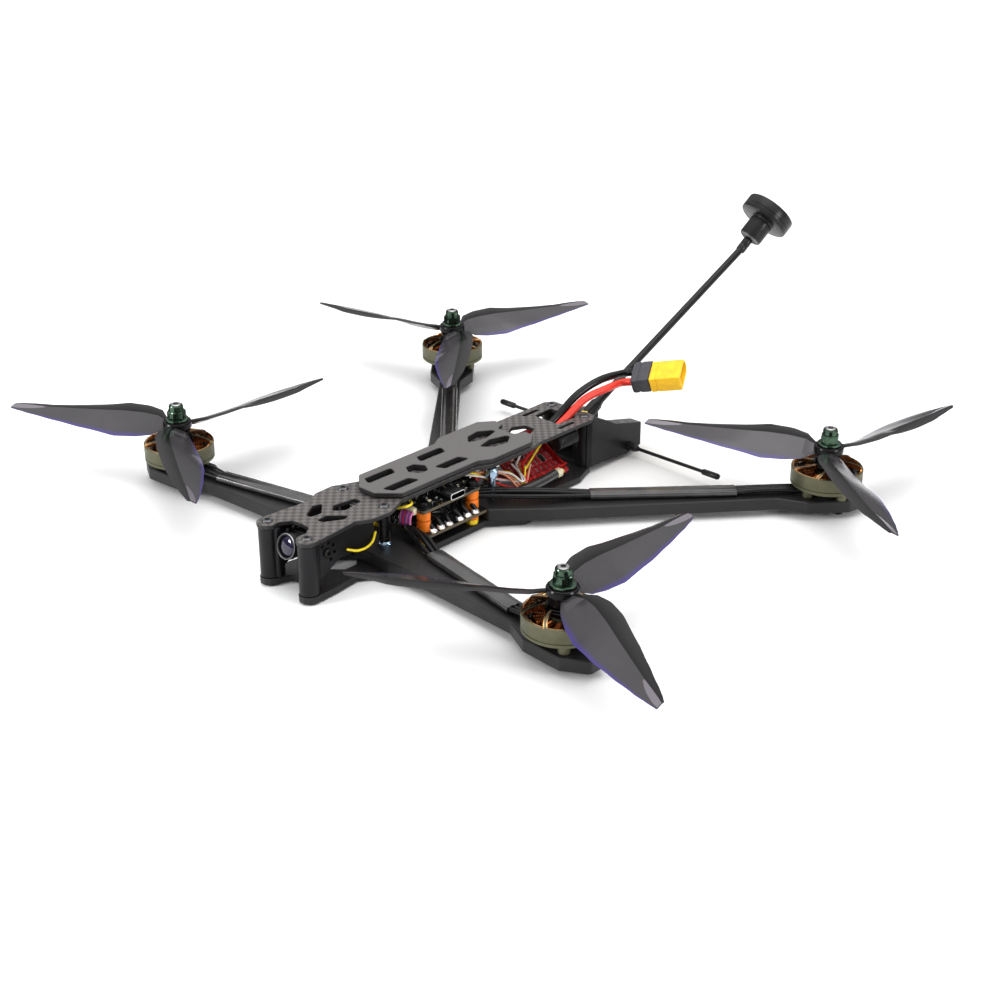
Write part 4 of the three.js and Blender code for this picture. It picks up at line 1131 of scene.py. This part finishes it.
def capacitor():
    """A power capacitor lying under the roof: sleeve, crimp groove and scored end."""
    centre, box_low = middle("capacitor"), low("capacitor")
    radius = (high("capacitor").z - box_low.z) / 2
    long = high("capacitor").y - box_low.y
    place = move(centre.x, box_low.y, centre.z) @ turn(-90, "X")
    piece = Piece("capacitor_can", slot="capacitor_sleeve", stands_for=["capacitor"])
    piece.add(turned([(radius - 0.7, 0.05), (radius - 0.1, 0.4), (radius, 1.2), (radius - 0.35, 2.1), (radius, 3.0),
                      (radius, long - 0.5), (radius - 0.4, long - 0.05), (radius - 0.8, long)], 40), "black", place)
    piece.add(rod(radius - 0.75, long - 0.12, long, 0.04), "steel", place)
    for spin in (0, 90):
        piece.add(brick(-2.4, 2.4, -0.12, 0.12, long - 0.04, long + 0.0, 0.01, 0.02), "dark_steel", place @ turn(spin))
    piece.finish(35)


def signal_wires(rng):
    """The thin coloured wires that run between the boards, and the ribbon to the stack."""
    fc_top = high("flight_controller").z - 1.2
    loom = Piece("signal_loom", slot="lead_red")
    colors = ("white_wire", "yellow_wire", "tan_wire", "red_wire", "yellow_wire", "white_wire", "tan_wire", "red_wire")
    for i, look in enumerate(colors):
        x = 8.5 - 1.1 * i
        start = (x * 0.5, STACK.y + 16.4, fc_top)
        path = [start, (x * 0.8 + 3, STACK.y + 24, fc_top + rng.uniform(-2, 1)),
                (12 + rng.uniform(-3, 2.5), -6 + rng.uniform(-3, 3), 12 + rng.uniform(-3, 6)),
                (13.4 + rng.uniform(-2, 1), 2 + rng.uniform(-2, 2), 8 + rng.uniform(-2, 4)),
                (7 + rng.uniform(-4, 4), 8 + rng.uniform(-2, 3), 14.5 + rng.uniform(0, 2))]
        loom.add(cord(path, 0.55, 8, 7), look)
    for i, look in enumerate(("yellow_wire", "white_wire", "tan_wire", "white_wire", "red_wire", "yellow_wire")):
        path = [(-4 + 2.6 * i, 8 + rng.uniform(-1, 1), 17.5 - i), (rng.uniform(-2, 6), 16 + 2 * i, 21.5 + rng.uniform(-0.8, 1.2)),
                (rng.uniform(2, 9), 28 + 1.5 * i, 22.5 + rng.uniform(-1, 1)), (4 + rng.uniform(-3, 3), 44, 14 + rng.uniform(-3, 5))]
        loom.add(cord(path, 0.55, 8, 7), look)
    loom.finish(60)

    bundle = Piece("sleeved_connector", slot="heat_shrink")
    bundle.add(cord([(13.6, -3, 7.2), (14.6, 5, 7.0), (15.0, 16, 7.4), (14.8, 24, 8.0)], 2.5, 14, 6), "sleeve")
    bundle.add(brick(12.7, 16.7, 24, 28, 6.1, 9.7, 0.3, 0.4), "cream")
    bundle.add(brick(13.2, 16.2, 27.5, 29.5, 6.6, 9.2, 0.2, 0.3), "gold")
    bundle.finish(45)

    ribbon = Piece("stack_ribbon", slot="lead_red")
    for i, look in enumerate(("pink_wire", "violet_wire", "pink_wire", "violet_wire", "red_wire", "violet_wire", "pink_wire")):
        x = 13.5 - 1.0 * i
        path = [(x, STACK.y - 18.2, high("flight_controller").z - 3.2), (x + 0.6, STACK.y - 22, 18.5), (x + 1, STACK.y - 22.5, 14),
                (x, STACK.y - 19, 11.4)]
        ribbon.add(cord(path, 0.5, 8, 6), look)
    ribbon.add(brick(7.2, 14.4, STACK.y - 20.4, STACK.y - 17.6, 18.6, 21.4, 0.2, 0.3), "cream")
    ribbon.finish(60)

    loops = Piece("camera_wires", slot="lead_red")
    loops.add(cord([(12.6, -107.5, 15.8), (14.4, -103, 14.2), (14.6, -98, 13.9), (14.2, -94, 15.2), (12.4, -90.5, 18.0)], 0.6),
              "yellow_wire")
    loops.add(cord([(8, -76, 22.4), (13.4, -73, 24.0), (13.0, -69, 24.2), (6, -65.5, 23.6)], 0.6), "yellow_wire")
    for i, look in enumerate(("white_wire", "red_wire", "insulation")):
        path = [(-3 + 2.5 * i, -112, 15), (-2 + 2 * i, -104, 12.5), (-3 + 2 * i, -92, 14 + i), (-1 + 1.5 * i, -78, 19), (0 + i, -66, 23)]
        loops.add(cord(path, 0.6), look)
    loops.finish(60)


# ---- tail ----

def antenna_mount():
    """The printed block on the rear columns, with its collars, pocket and aerial holes."""
    frame_mesh = frame["nodes"]["antenna_mount"].data
    made = frame_mesh.copy()
    made.name = "antenna_block"
    made.materials.clear()
    made.materials.append(LOOKS["printed_tail"])
    work = bmesh.new()
    work.from_mesh(made)
    bmesh.ops.remove_doubles(work, verts=work.verts, dist=0.01 * MM)
    bmesh.ops.dissolve_limit(work, angle_limit=math.radians(2), verts=work.verts, edges=work.edges)
    work.to_mesh(made)
    work.free()
    for face in made.polygons:
        face.material_index = 0
    block = bpy.data.objects.new("antenna_block", made)
    bpy.context.scene.collection.objects.link(block)
    soften = block.modifiers.new("soften", "BEVEL")
    soften.width = 0.7 * MM
    soften.segments = 3
    soften.limit_method = "ANGLE"
    soften.angle_limit = math.radians(35)
    soften.use_clamp_overlap = True
    made.shade_smooth()
    made.set_sharp_from_angle(angle=math.radians(40))
    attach(block, "airframe")
    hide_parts("antenna_mount")


def head_place():
    rise = math.radians(ANTENNA_RISE)
    end = ANTENNA_BASE + STALK_LENGTH * Vector((0, math.cos(rise), math.sin(rise)))
    return Matrix.Translation(end) @ turn(HEAD_YAW) @ turn(HEAD_RISE - 90, "X")


def video_antenna():
    """Stalk with boot, bent neck and ferrule, and the mushroom head with its grooves."""
    place = Matrix.Translation(ANTENNA_BASE) @ turn(ANTENNA_RISE - 90, "X")
    top = head_place()
    stalk = Piece("antenna_stalk", slot="antenna_plastic", stands_for=["video_antenna_stalk"])
    stalk.add(nut(3.1, -7.5, 5.5, 1.0), "gold", place)
    stalk.add(turned([(2.6, -3), (3.1, -2.5), (3.1, 5.4), (2.8, 6), (2.45, 7), (2.1, 8.6), (2.02, 9),
                      (1.9, 16)], 28), "satin", place)
    for i in range(4):
        stalk.add(turned([(3.05, -1.6 + i * 1.6), (3.18, -1.4 + i * 1.6), (3.18, -0.9 + i * 1.6),
                          (3.05, -0.7 + i * 1.6)], 28, True), "satin", place)
    line = [place @ Vector((0, 0, z)) for z in (14, 40, 80, 115, STALK_LENGTH - 7)]
    stalk.add(cord([*line, top @ Vector((0, 0, 1.5)), top @ Vector((0, 0, 4))], 1.85, 20, 8), "satin")
    stalk.add(turned([(1.9, -1.4), (2.3, -1.2), (2.45, -0.4), (2.45, 2.2), (2.3, 2.5), (2.45, 2.8),
                      (2.45, FERRULE_LENGTH - 0.4), (2.2, FERRULE_LENGTH)], 28), "satin", top)
    stalk.finish(35)
    neck = FERRULE_LENGTH + 0.3
    disc, rim = neck + 11.5, neck + 19.7
    head = Piece("antenna_head", slot="antenna_plastic", stands_for=["video_antenna_head"])
    head.add(turned([(2.6, neck + 0.5), (5.4, neck + 0.02), (6.0, neck + 0.3), (6.25, neck + 0.9),
                     (6.25, disc - 0.9), (6.8, disc - 0.1), (12.8, disc), (13.4, disc + 0.3), (13.65, disc + 0.9),
                     (13.65, disc + 2.6), (13.4, disc + 2.8), (13.4, disc + 3.1), (13.65, disc + 3.3),
                     (13.65, rim - 1.2), (13.4, rim - 0.5), (12.7, rim - 0.1), (11.4, rim - 0.02),
                     (11.2, rim - 0.3), (4.2, rim - 0.3), (4.0, rim - 0.02), (0.1, rim - 0.02)], 72), "satin", top)
    head.finish(30)


def receiver_antenna(side, where):
    """A thin aerial with a boot at the block and a moulded tip."""
    node = f"receiver_antenna_{where}"
    centre = middle(node)
    reach = max(abs(low(node).x), abs(high(node).x))
    place = move(0, centre.y, centre.z) @ turn(side * 90, "Y")
    piece = Piece(f"{node}_whip", slot="antenna_plastic", stands_for=[node])
    profile = [(1.7, 7.2), (2.0, 7.6), (2.0, 19.2), (1.7, 20.2), (1.3, 21.4), (0.85, 21.8), (0.85, reach - 10.4),
               (1.1, reach - 10.0), (1.5, reach - 9.4), (1.5, reach - 1.2), (1.2, reach - 0.4), (0.5, reach)]
    piece.add(turned(profile, 20), "satin", place)
    for z in (15.5, 16.8, 18.1):
        piece.add(turned([(1.95, z), (2.1, z + 0.2), (2.1, z + 0.6), (1.95, z + 0.8)], 20, True), "satin", place)
    lead = [(7.6, 79, 5.2), (5.4, 77.6, 5.6), (4.4, 72, 7.4), (4.2, 65.5, 9.0)]
    piece.add(cord([(side * x, y, z) for x, y, z in lead], 0.8), "satin").finish(35)


# ---- battery lead ----

def plug_place():
    roll, pitch, yaw = PLUG_TURN
    return move(*PLUG_ROOT) @ turn(yaw) @ turn(pitch, "Y") @ turn(roll, "X")


def plug_ring(half_y, half_z, chamfer, along_x):
    """The plug's section: square on one side, chamfered on the other."""
    outline = [(-half_y, -half_z), (half_y - chamfer, -half_z), (half_y, -half_z + chamfer),
               (half_y, half_z - chamfer), (half_y - chamfer, half_z), (-half_y, half_z)]
    return [(along_x, y, z) for y, z in fillet(outline, 0.7, 3)]


def plug():
    place = plug_place()
    body = Piece("plug_shell", slot="plug_yellow", stands_for=["plug_body"])
    body.add(loft([
        plug_ring(7.7, 3.8, 2.3, 9.5), plug_ring(8, 4.1, 2.4, 9.8), plug_ring(8, 4.1, 2.4, 12.4),
        plug_ring(7.75, 3.85, 2.3, 12.6), plug_ring(7.75, 3.85, 2.3, 13.1), plug_ring(8, 4.1, 2.4, 13.3),
        plug_ring(8, 4.1, 2.4, 24.6), plug_ring(7.7, 3.8, 2.3, 25), plug_ring(7.0, 3.1, 2.0, 25),
        plug_ring(6.9, 3.0, 1.9, 24.7), plug_ring(6.9, 3.0, 1.9, 14.2),
    ]), "plug", place)
    for y in (-5.4, -2.7, 0, 2.7, 5.0):
        for face in (-1, 1):
            body.add(brick(15.5, 23, y - 0.45, y + 0.45, 3.95 * face - 0.14, 3.95 * face + 0.14, 0.1, 0.3), "plug", place)
    body.finish(30)

    cap = Piece("plug_cover", slot="plug_grey", stands_for=["plug_cap"])
    cap.add(loft([
        plug_ring(6.9, 3.3, 1.1, 0), plug_ring(7.5, 3.8, 1.2, 0.5), plug_ring(7.75, 3.95, 1.2, 1.2),
        plug_ring(7.75, 3.95, 1.2, 3.4), plug_ring(7.5, 3.7, 1.2, 3.6), plug_ring(7.5, 3.7, 1.2, 4.4),
        plug_ring(7.75, 3.95, 1.2, 4.6), plug_ring(7.75, 3.95, 1.2, 8.9), plug_ring(7.5, 3.7, 1.1, 9.2),
    ]), "plug_grey", place)
    cap.finish(30)

    for across, name in ((PIN_OFFSET, "black"), (-PIN_OFFSET, "red")):
        pin = Piece(f"plug_contact_{name}", slot="gold_contact", stands_for=[f"plug_pin_{name}"])
        turned_pin = turned([(1.5, 10.4), (1.7, 10.6), (1.7, 21.8), (1.6, 22.8), (1.1, 23.4), (0.9, 23.55)], 24)
        pin.add(turned_pin, "gold", place @ move(0, across) @ turn(90, "Y"))
        pin.finish(30)


def leads():
    """Black and red battery leads from the power board, out of the roof and into the plug."""
    place = plug_place()
    paths = {
        "black": (PIN_OFFSET, [(-1, -26.8, 12.6), (-1, -15, 20), (-0.5, 0, 22.8), (-0.5, 27, 22.6), (0.6, 39.5, 27),
                               (3.4, 52, 36.6), (6.5, 66, 41.5)]),
        "red": (-PIN_OFFSET, [(5, -26.8, 12.6), (4.5, -15, 20), (4.2, 0, 22.8), (4.2, 27, 22.2), (4.6, 40.6, 26.8),
                              (7.2, 54, 35.2), (10.8, 67, 38.2)]),
    }
    for name, (across, path) in paths.items():
        ends = [place @ Vector((-6, across, 0)), place @ Vector((0.3, across, 0))]
        piece = Piece(f"battery_wire_{name}", slot=f"lead_{name}", stands_for=[f"battery_lead_{name}"])
        piece.add(cord([*path, *ends], 1.88, 20, 8), "insulation" if name == "black" else "red_insulation")
        piece.finish(60)


# ---- rotors ----

SCREW_TURN = {"front": 45, "rear": 75}
SPIN = {"front_left": 1, "front_right": -1, "rear_left": -1, "rear_right": 1}
BLADE_ANGLE = {"front_left": 91.9, "front_right": 88.1, "rear_left": 81.8, "rear_right": 72.1}

# Half plan of a blade: radius, leading edge and trailing edge beside the radius through the tip.
STATIONS = ((4.6, 2.8, -2.8), (6, 3.3, -3.3), (9, 6.6, -4.5), (12, 9.8, -5.4), (20, 12, -6.6), (32, 12.2, -7.6), (48, 10.9, -7.2),
            (62, 9, -5.4), (76, 6.6, -3), (84, 5.2, -1.2), (88.8, 4.2, 0.1))


def motor_base(where):
    """Feet on the arm, the wound stator with its teeth and coils, and its bearing tube."""
    node = "motor_base_" + where
    centre = pivot("spin_" + where)
    place = move(centre.x, centre.y)
    stator, top = ARM_TOP + 3.7, high(node).z
    piece = Piece(f"motor_stator_{where}", slot="copper", stands_for=[node])
    piece.add(turned([(3.4, ARM_TOP), (6.0, ARM_TOP), (6.6, ARM_TOP + 0.5), (6.6, ARM_TOP + 2.4),
                      (7.0, ARM_TOP + 3.0), (13.2, ARM_TOP + 3.0), (13.5, ARM_TOP + 3.3), (13.4, ARM_TOP + 3.6), (4.4, stator),
                      (4.4, top), (3.4, top)], 40, True), "can", place)
    for quarter in range(4):
        spin = SCREW_TURN[where.split("_")[0]] + 90 * quarter
        if where.endswith("right"):
            spin = 180 - spin
        piece.add(rod(2.5, ARM_TOP, ARM_TOP + 3.4, 0.3, 28), "can", place @ turn(spin) @ move(10.8, 0))
    for i in range(12):
        tooth = place @ turn(30 * i)
        piece.add(brick(4.2, 12.2, -0.8, 0.8, stator + 2.2, top - 2.2, 0.1, 0.1), "dark_steel", tooth)
        piece.add(slab(tooth_tip(), stator + 1.6, top - 1.6, 0.1), "dark_steel", tooth)
        for k in range(6):
            piece.add(coil(6.1 + 0.95 * k, 0.95 + 0.17 * k, (top - stator) / 2 - 0.75), "windings",
                      tooth @ move(0, 0, (top + stator) / 2))
    piece.finish(40)


def tooth_tip():
    """The curved outer shoe of a stator tooth, seen from above."""
    outer = [(13.05 * math.cos(a), 13.05 * math.sin(a)) for a in (-0.22, -0.11, 0, 0.11, 0.22)]
    inner = [(12.0 * math.cos(a), 12.0 * math.sin(a)) for a in (0.2, 0.1, 0, -0.1, -0.2)]
    return outer + inner


def coil(x, half_width, half_height):
    """One turn of wire round a tooth."""
    path = []
    for i in range(14):
        angle = 2 * math.pi * i / 14
        y = half_width * math.copysign(abs(math.cos(angle)) ** 0.5, math.cos(angle))
        z = half_height * math.copysign(abs(math.sin(angle)) ** 0.5, math.sin(angle))
        path.append(Vector((x, y, z)))
    rings = []
    for i, point in enumerate(path):
        forward = (path[(i + 1) % 14] - path[i - 1]).normalized()
        side = Vector((1, 0, 0))
        up = forward.cross(side)
        rings.append([point + side * 0.46 * a + up * 0.46 * b for a, b in circle(1, 6)])
    return loft(rings, True)


def motor_bell(where):
    """Olive can with a copper trimmed rim, swept spokes, magnets inside, and the shaft."""
    node = "motor_bell_" + where
    centre = pivot("spin_" + where)
    place = move(centre.x, centre.y) @ turn(BLADE_ANGLE[where] + 20)
    under, hub_under = ARM_TOP + 4.7, ARM_TOP + 15.7
    top = ARM_TOP + 14.5
    piece = Piece(f"motor_can_{where}", "rotor_" + where, "olive_metal", [node])
    rim = top - 1.7
    wall = [(14.9, under), (16.1, under), (16.4, under + 0.25), (16.4, under + 1.5), (16.2, under + 1.65),
            (16.2, under + 1.95), (16.45, under + 2.1), (16.45, rim - 0.3), (16.2, rim)]
    piece.add(turned([*wall, (15.7, rim), (14.9, rim - 1.2)], 64, True), "can", place)
    piece.add(turned([(15.9, rim - 0.06), (15.75, rim + 0.12), (15.35, rim + 0.05), (14.85, rim - 0.7),
                      (14.8, rim - 1.6), (14.95, rim - 1.6)], 64, True), "copper_trim", place)
    for i in range(14):
        magnet = [(14.86 * math.cos(a), 14.86 * math.sin(a)) for a in (-0.19, -0.06, 0.06, 0.19)]
        magnet += [(13.8 * math.cos(a), 13.8 * math.sin(a)) for a in (0.19, 0.06, -0.06, -0.19)]
        piece.add(slab(magnet, under + 0.5, top - 3.6, 0.08), "magnet", place @ turn(360 * i / 14))
    for i in range(7):
        spoke = place @ turn(360 * i / 7)
        piece.add(swept_spoke(SPIN[where], 0.45, 0.0, top), "can", spoke)
        for edge in (-0.62, 0.62):
            piece.add(swept_spoke(SPIN[where], 0.24, edge, top), "copper_trim", spoke)
    piece.add(turned([(2.6, top - 2.4), (6.2, top - 2.4), (6.9, top - 1.6), (7.1, top - 0.3), (6.8, top), (6.75, hub_under - 0.25),
                      (6.5, hub_under - 0.02), (2.6, hub_under - 0.02)], 48, True), "anodised", place)
    shaft_top = high(node).z
    piece.add(rod(2.45, ARM_TOP + 0.7, hub_under + 0.2, 0.2, 28), "steel", place)
    thread = threaded(2.48, hub_under, shaft_top - 0.6)
    piece.add(thread, "steel", place)
    piece.add(hollow_end(2.48, shaft_top - 0.7, shaft_top), "steel", place)
    piece.add(rod(1.2, shaft_top - 0.75, shaft_top - 0.55, 0.05), "chip", place)
    piece.finish(35)


def swept_spoke(spin, half_width, offset, top):
    """A spoke that leaves the hub at a slant, slopes outwards and turns down into the rim."""
    rings = []
    for reach, high_side, deep in ((5.8, 0.85, 2.2), (9.0, 0.45, 1.9), (12.6, -0.1, 1.7), (14.6, -0.55, 1.7),
                                   (15.6, -1.0, 1.5), (16.1, -1.75, 1.0)):
        swing = spin * (reach - 5.8) * 0.035
        centre = Vector((reach * math.cos(swing), reach * math.sin(swing), 0))
        across = Vector((-math.sin(swing + spin * 0.4), math.cos(swing + spin * 0.4), 0))
        near, far = centre + across * (offset - half_width), centre + across * (offset + half_width)
        rings.append([near + Vector((0, 0, top + high_side)), near + Vector((0, 0, top + high_side - deep)),
                      far + Vector((0, 0, top + high_side - deep)), far + Vector((0, 0, top + high_side))])
    return loft(rings)


def hollow_end(radius, bottom, top):
    """The end of a shaft with a hexagon socket in it."""
    return loft([raised(circle(radius, 24), bottom), raised(circle(radius, 24), top - 0.35),
                 raised(circle(radius - 0.35, 24), top), raised(hexagon(1.35), top), raised(hexagon(1.25), top - 0.8)])


def edges_at(radius):
    """Leading and trailing edge of a blade at a radius, smoothed between the stations."""
    for (ra, la, ta), (rb, lb, tb) in zip(STATIONS, STATIONS[1:]):
        if radius <= rb:
            t = (radius - ra) / (rb - ra)
            t = t * t * (3 - 2 * t) * 0.35 + t * 0.65
            return la + (lb - la) * t, ta + (tb - ta) * t
    return STATIONS[-1][1:]


CREASE = 0.64


def blade_shares(t):
    """Places across the chord, from the trailing edge, that follow the crease and the tip facet."""
    facet = CREASE - 0.05 - max(0.0, t - 0.78) * 2.1
    shares = [0, facet / 4, facet / 2, 0.75 * facet, facet, facet + 0.01, CREASE - 0.01, CREASE,
              CREASE + 0.015, CREASE + 0.12, CREASE + 0.22, CREASE + 0.3, 1]
    return shares, facet


def blade_tint_and_painted_light(share, facet, t):
    """How violet a blade is at a place, and how much painted shade and painted highlight it gets there."""
    violet = max(0.0, 1 - share / 0.11) * min(1, t * 5)
    # painted shade: strongest at the crease, easing towards the leading edge, and full at the root
    dark = 1 - 0.45 * (share - CREASE) / (1 - CREASE) if share > CREASE + 0.01 else 0.0
    # painted highlight on the tip facet
    light = 1.0 if t > 0.8 and facet + 0.005 < share < CREASE - 0.005 else 0.0
    return min(1.0, violet), 1.0 if t < 0.02 else dark, light


def blade(spin, height):
    """One blade along +X, creased lengthwise, with the pitch falling towards the tip."""
    pitch, span = 112, 44
    root, tip = STATIONS[0][0], STATIONS[-1][0]
    rings, tints_and_painted_light = [], []
    for step in range(span + 1):
        t = 1 - (1 - step / span) ** 1.25
        radius = root + (tip - root) * t
        lead, trail = edges_at(radius)
        chord = lead - trail
        thick = 1.7 - 1.1 * t
        slope = pitch / (2 * math.pi * max(radius, 30))
        shares, facet = blade_shares(t)
        ring = []
        for face in (1, -1):
            for share in shares if face == 1 else reversed(shares[1:-1]):
                across = trail + chord * share
                full = min(1.0, 5 * share + 0.25, 7 * (1 - share)) ** 0.7
                droop = 0.4 * chord * max(0.0, share - CREASE) ** 1.25
                lifted = 0.26 * chord * (min(share, CREASE) - facet) if share > facet and t > 0.78 else 0.0
                back = 2.8 * share * t ** 7 + 0.9 * (1 - share) ** 6 * t ** 9
                rise = face * full * thick / 2 - droop + lifted
                ring.append((radius - back, spin * across,
                             height + (across - (lead + trail) / 2) * slope + rise))
                # the underside gets full painted shade
                tints_and_painted_light.append(blade_tint_and_painted_light(share, facet, t) if face == 1 else (0.0, 1.0, 0.0))
        rings.append(ring)
    return loft(rings), tints_and_painted_light


def propeller(where):
    """Three blades on a stepped hub."""
    node = "propeller_" + where
    centre = pivot("spin_" + where)
    place = move(centre.x, centre.y) @ turn(BLADE_ANGLE[where])
    bottom, top = ARM_TOP + 15.7, ARM_TOP + 23.9
    piece = Piece(f"blades_{where}", "rotor_" + where, "blade_plastic", [node])
    shape, tints_and_painted_light = blade(SPIN[where], ARM_TOP + 20.9)
    for angle in (0, 120, 240):
        piece.add(shape, "blade", place @ turn(angle), tints_and_painted_light)
    # the hub takes the same channel all over, so it gets the darkest blade colour
    dark = (0.0, 1.0, 0.0)
    hub = [(2.95, bottom), (5.3, bottom), (5.7, bottom + 0.4), (5.8, bottom + 3.0), (6.3, bottom + 4.3),
           (6.7, bottom + 4.7), (6.8, top - 1.1), (6.5, top - 0.5), (6.0, top - 0.3), (5.75, top - 0.6),
           (5.3, top - 0.6), (5.2, top - 0.05), (2.95, top - 0.05)]
    piece.add(turned(hub, 56, True), "blade", place, [dark] * 56 * len(hub))
    piece.finish(9)


def prop_nut(where):
    """Green flanged lock nut with its collar."""
    node = "prop_nut_" + where
    centre, bottom = pivot("spin_" + where), low(node).z
    top = high(node).z
    place = move(centre.x, centre.y) @ turn(BLADE_ANGLE[where] * 0.7)
    piece = Piece(f"lock_nut_{where}", "rotor_" + where, "green_metal", [node])
    collar = high("motor_bell_" + where).z - 0.5
    flange = [(2.95, 0), (5.0, 0), (5.4, 0.2), (5.4, 0.75), (4.95, 0.95), (4.2, 1.1)]
    rings = [raised(circle(radius, 24), bottom + up) for radius, up in flange]
    rings += [raised(hexagon(4.45), bottom + 1.15), raised(hexagon(4.45), top - 2.0)]
    rings += [raised(circle(radius, 24), level) for radius, level in (
        (3.9, top - 1.5), (3.45, top - 1.4), (3.4, collar - 0.5), (3.1, collar), (2.75, collar),
        (2.7, collar - 0.8))]
    piece.add(loft(rings, True), "green", place).finish(28)


# ---- light, floor and camera ----

EYE = (0.4907, -0.5281, 0.3393)
GAZE = ((0.7330, 0.6802, 0.0017), (-0.2925, 0.3129, 0.9036), (0.6142, -0.6629, 0.4283))
FOCAL = 1.682


def floor():
    mesh = bpy.data.meshes.new("floor")
    reach = 6.0
    mesh.from_pydata([(-reach, -reach, 0), (reach, -reach, 0), (reach, reach, 0), (-reach, reach, 0)], [], [(0, 1, 2, 3)])
    look = Look("pale_floor", (0.95, 0.95, 0.95), 0.7)
    look.mottle((0.935, 0.936, 0.94), 300.0)
    mesh.materials.append(look.scuff(60.0, 0.04).done())
    made = bpy.data.objects.new("floor", mesh)
    made.location.z = -0.0006
    bpy.context.scene.collection.objects.link(made)


def light(name, place, aim, size, power):
    data = bpy.data.lights.new(name, "AREA")
    data.energy = power
    data.size = size
    made = bpy.data.objects.new(name, data)
    made.location = place
    made.rotation_euler = (Vector(aim) - Vector(place)).to_track_quat("-Z", "Y").to_euler()
    bpy.context.scene.collection.objects.link(made)


def studio():
    """A white sweep lit from above: bright overhead, dim at the horizon."""
    world = bpy.data.worlds.new("studio")
    world.use_nodes = True
    tree = world.node_tree
    background = tree.nodes["Background"]
    direction = tree.nodes.new("ShaderNodeTexCoord")
    split = tree.nodes.new("ShaderNodeSeparateXYZ")
    tree.links.new(direction.outputs["Generated"], split.inputs[0])
    height = tree.nodes.new("ShaderNodeMapRange")
    height.inputs["From Min"].default_value = 0.05
    height.inputs["To Min"].default_value = 0.12
    height.inputs["To Max"].default_value = 1.75
    tree.links.new(split.outputs["Z"], height.inputs["Value"])
    seen = tree.nodes.new("ShaderNodeLightPath")
    choose = tree.nodes.new("ShaderNodeMix")
    tree.links.new(seen.outputs["Is Camera Ray"], choose.inputs["Factor"])
    tree.links.new(height.outputs["Result"], choose.inputs["A"])
    choose.inputs["B"].default_value = 1.0
    tree.links.new(choose.outputs["Result"], background.inputs["Strength"])
    background.inputs["Color"].default_value = (1, 1, 1, 1)
    bpy.context.scene.world = world
    bpy.context.scene.view_settings.view_transform = "Standard"
    bpy.context.scene.view_settings.gamma = 0.85
    light("overhead", (0.1, 0.1, 1.5), (0, 0, 0), 1.2, 5)
    light("window", (-0.6, -1.2, 0.5), (0, 0, 0), 0.35, 9)
    light("fill", (1.25, 0.15, 0.4), (0, 0, 0), 0.3, 5)


def viewpoint():
    data = bpy.data.cameras.new("viewpoint")
    data.sensor_width = 36
    data.lens = 36 * FOCAL
    data.clip_start, data.clip_end = 0.01, 50
    made = bpy.data.objects.new("viewpoint", data)
    right, up, back = (Vector(axis).normalized() for axis in GAZE)
    rotation = Matrix((right, up, back)).transposed()
    made.matrix_world = Matrix.Translation(EYE) @ rotation.to_4x4()
    bpy.context.scene.collection.objects.link(made)
    bpy.context.scene.camera = made


# ---- everything ----

def build():
    rng = random.Random(11)
    plates()
    arms()
    sleeves(rng)
    motor_wires()
    both_sides(bolts)
    both_sides(camera_side)
    both_sides(receiver_antenna)
    camera()
    speed_controller(rng)
    flight_controller(rng)
    for where in ("front_left", "rear_left", "front_right", "rear_right"):
        stack_post(where)
    video_transmitter(rng)
    receiver(rng)
    capacitor()
    signal_wires(rng)
    antenna_mount()
    video_antenna()
    plug()
    leads()
    for where in CORNERS:
        motor_screws(where)
        motor_base(where)
        motor_bell(where)
        propeller(where)
        prop_nut(where)


build()
floor()
studio()
viewpoint()
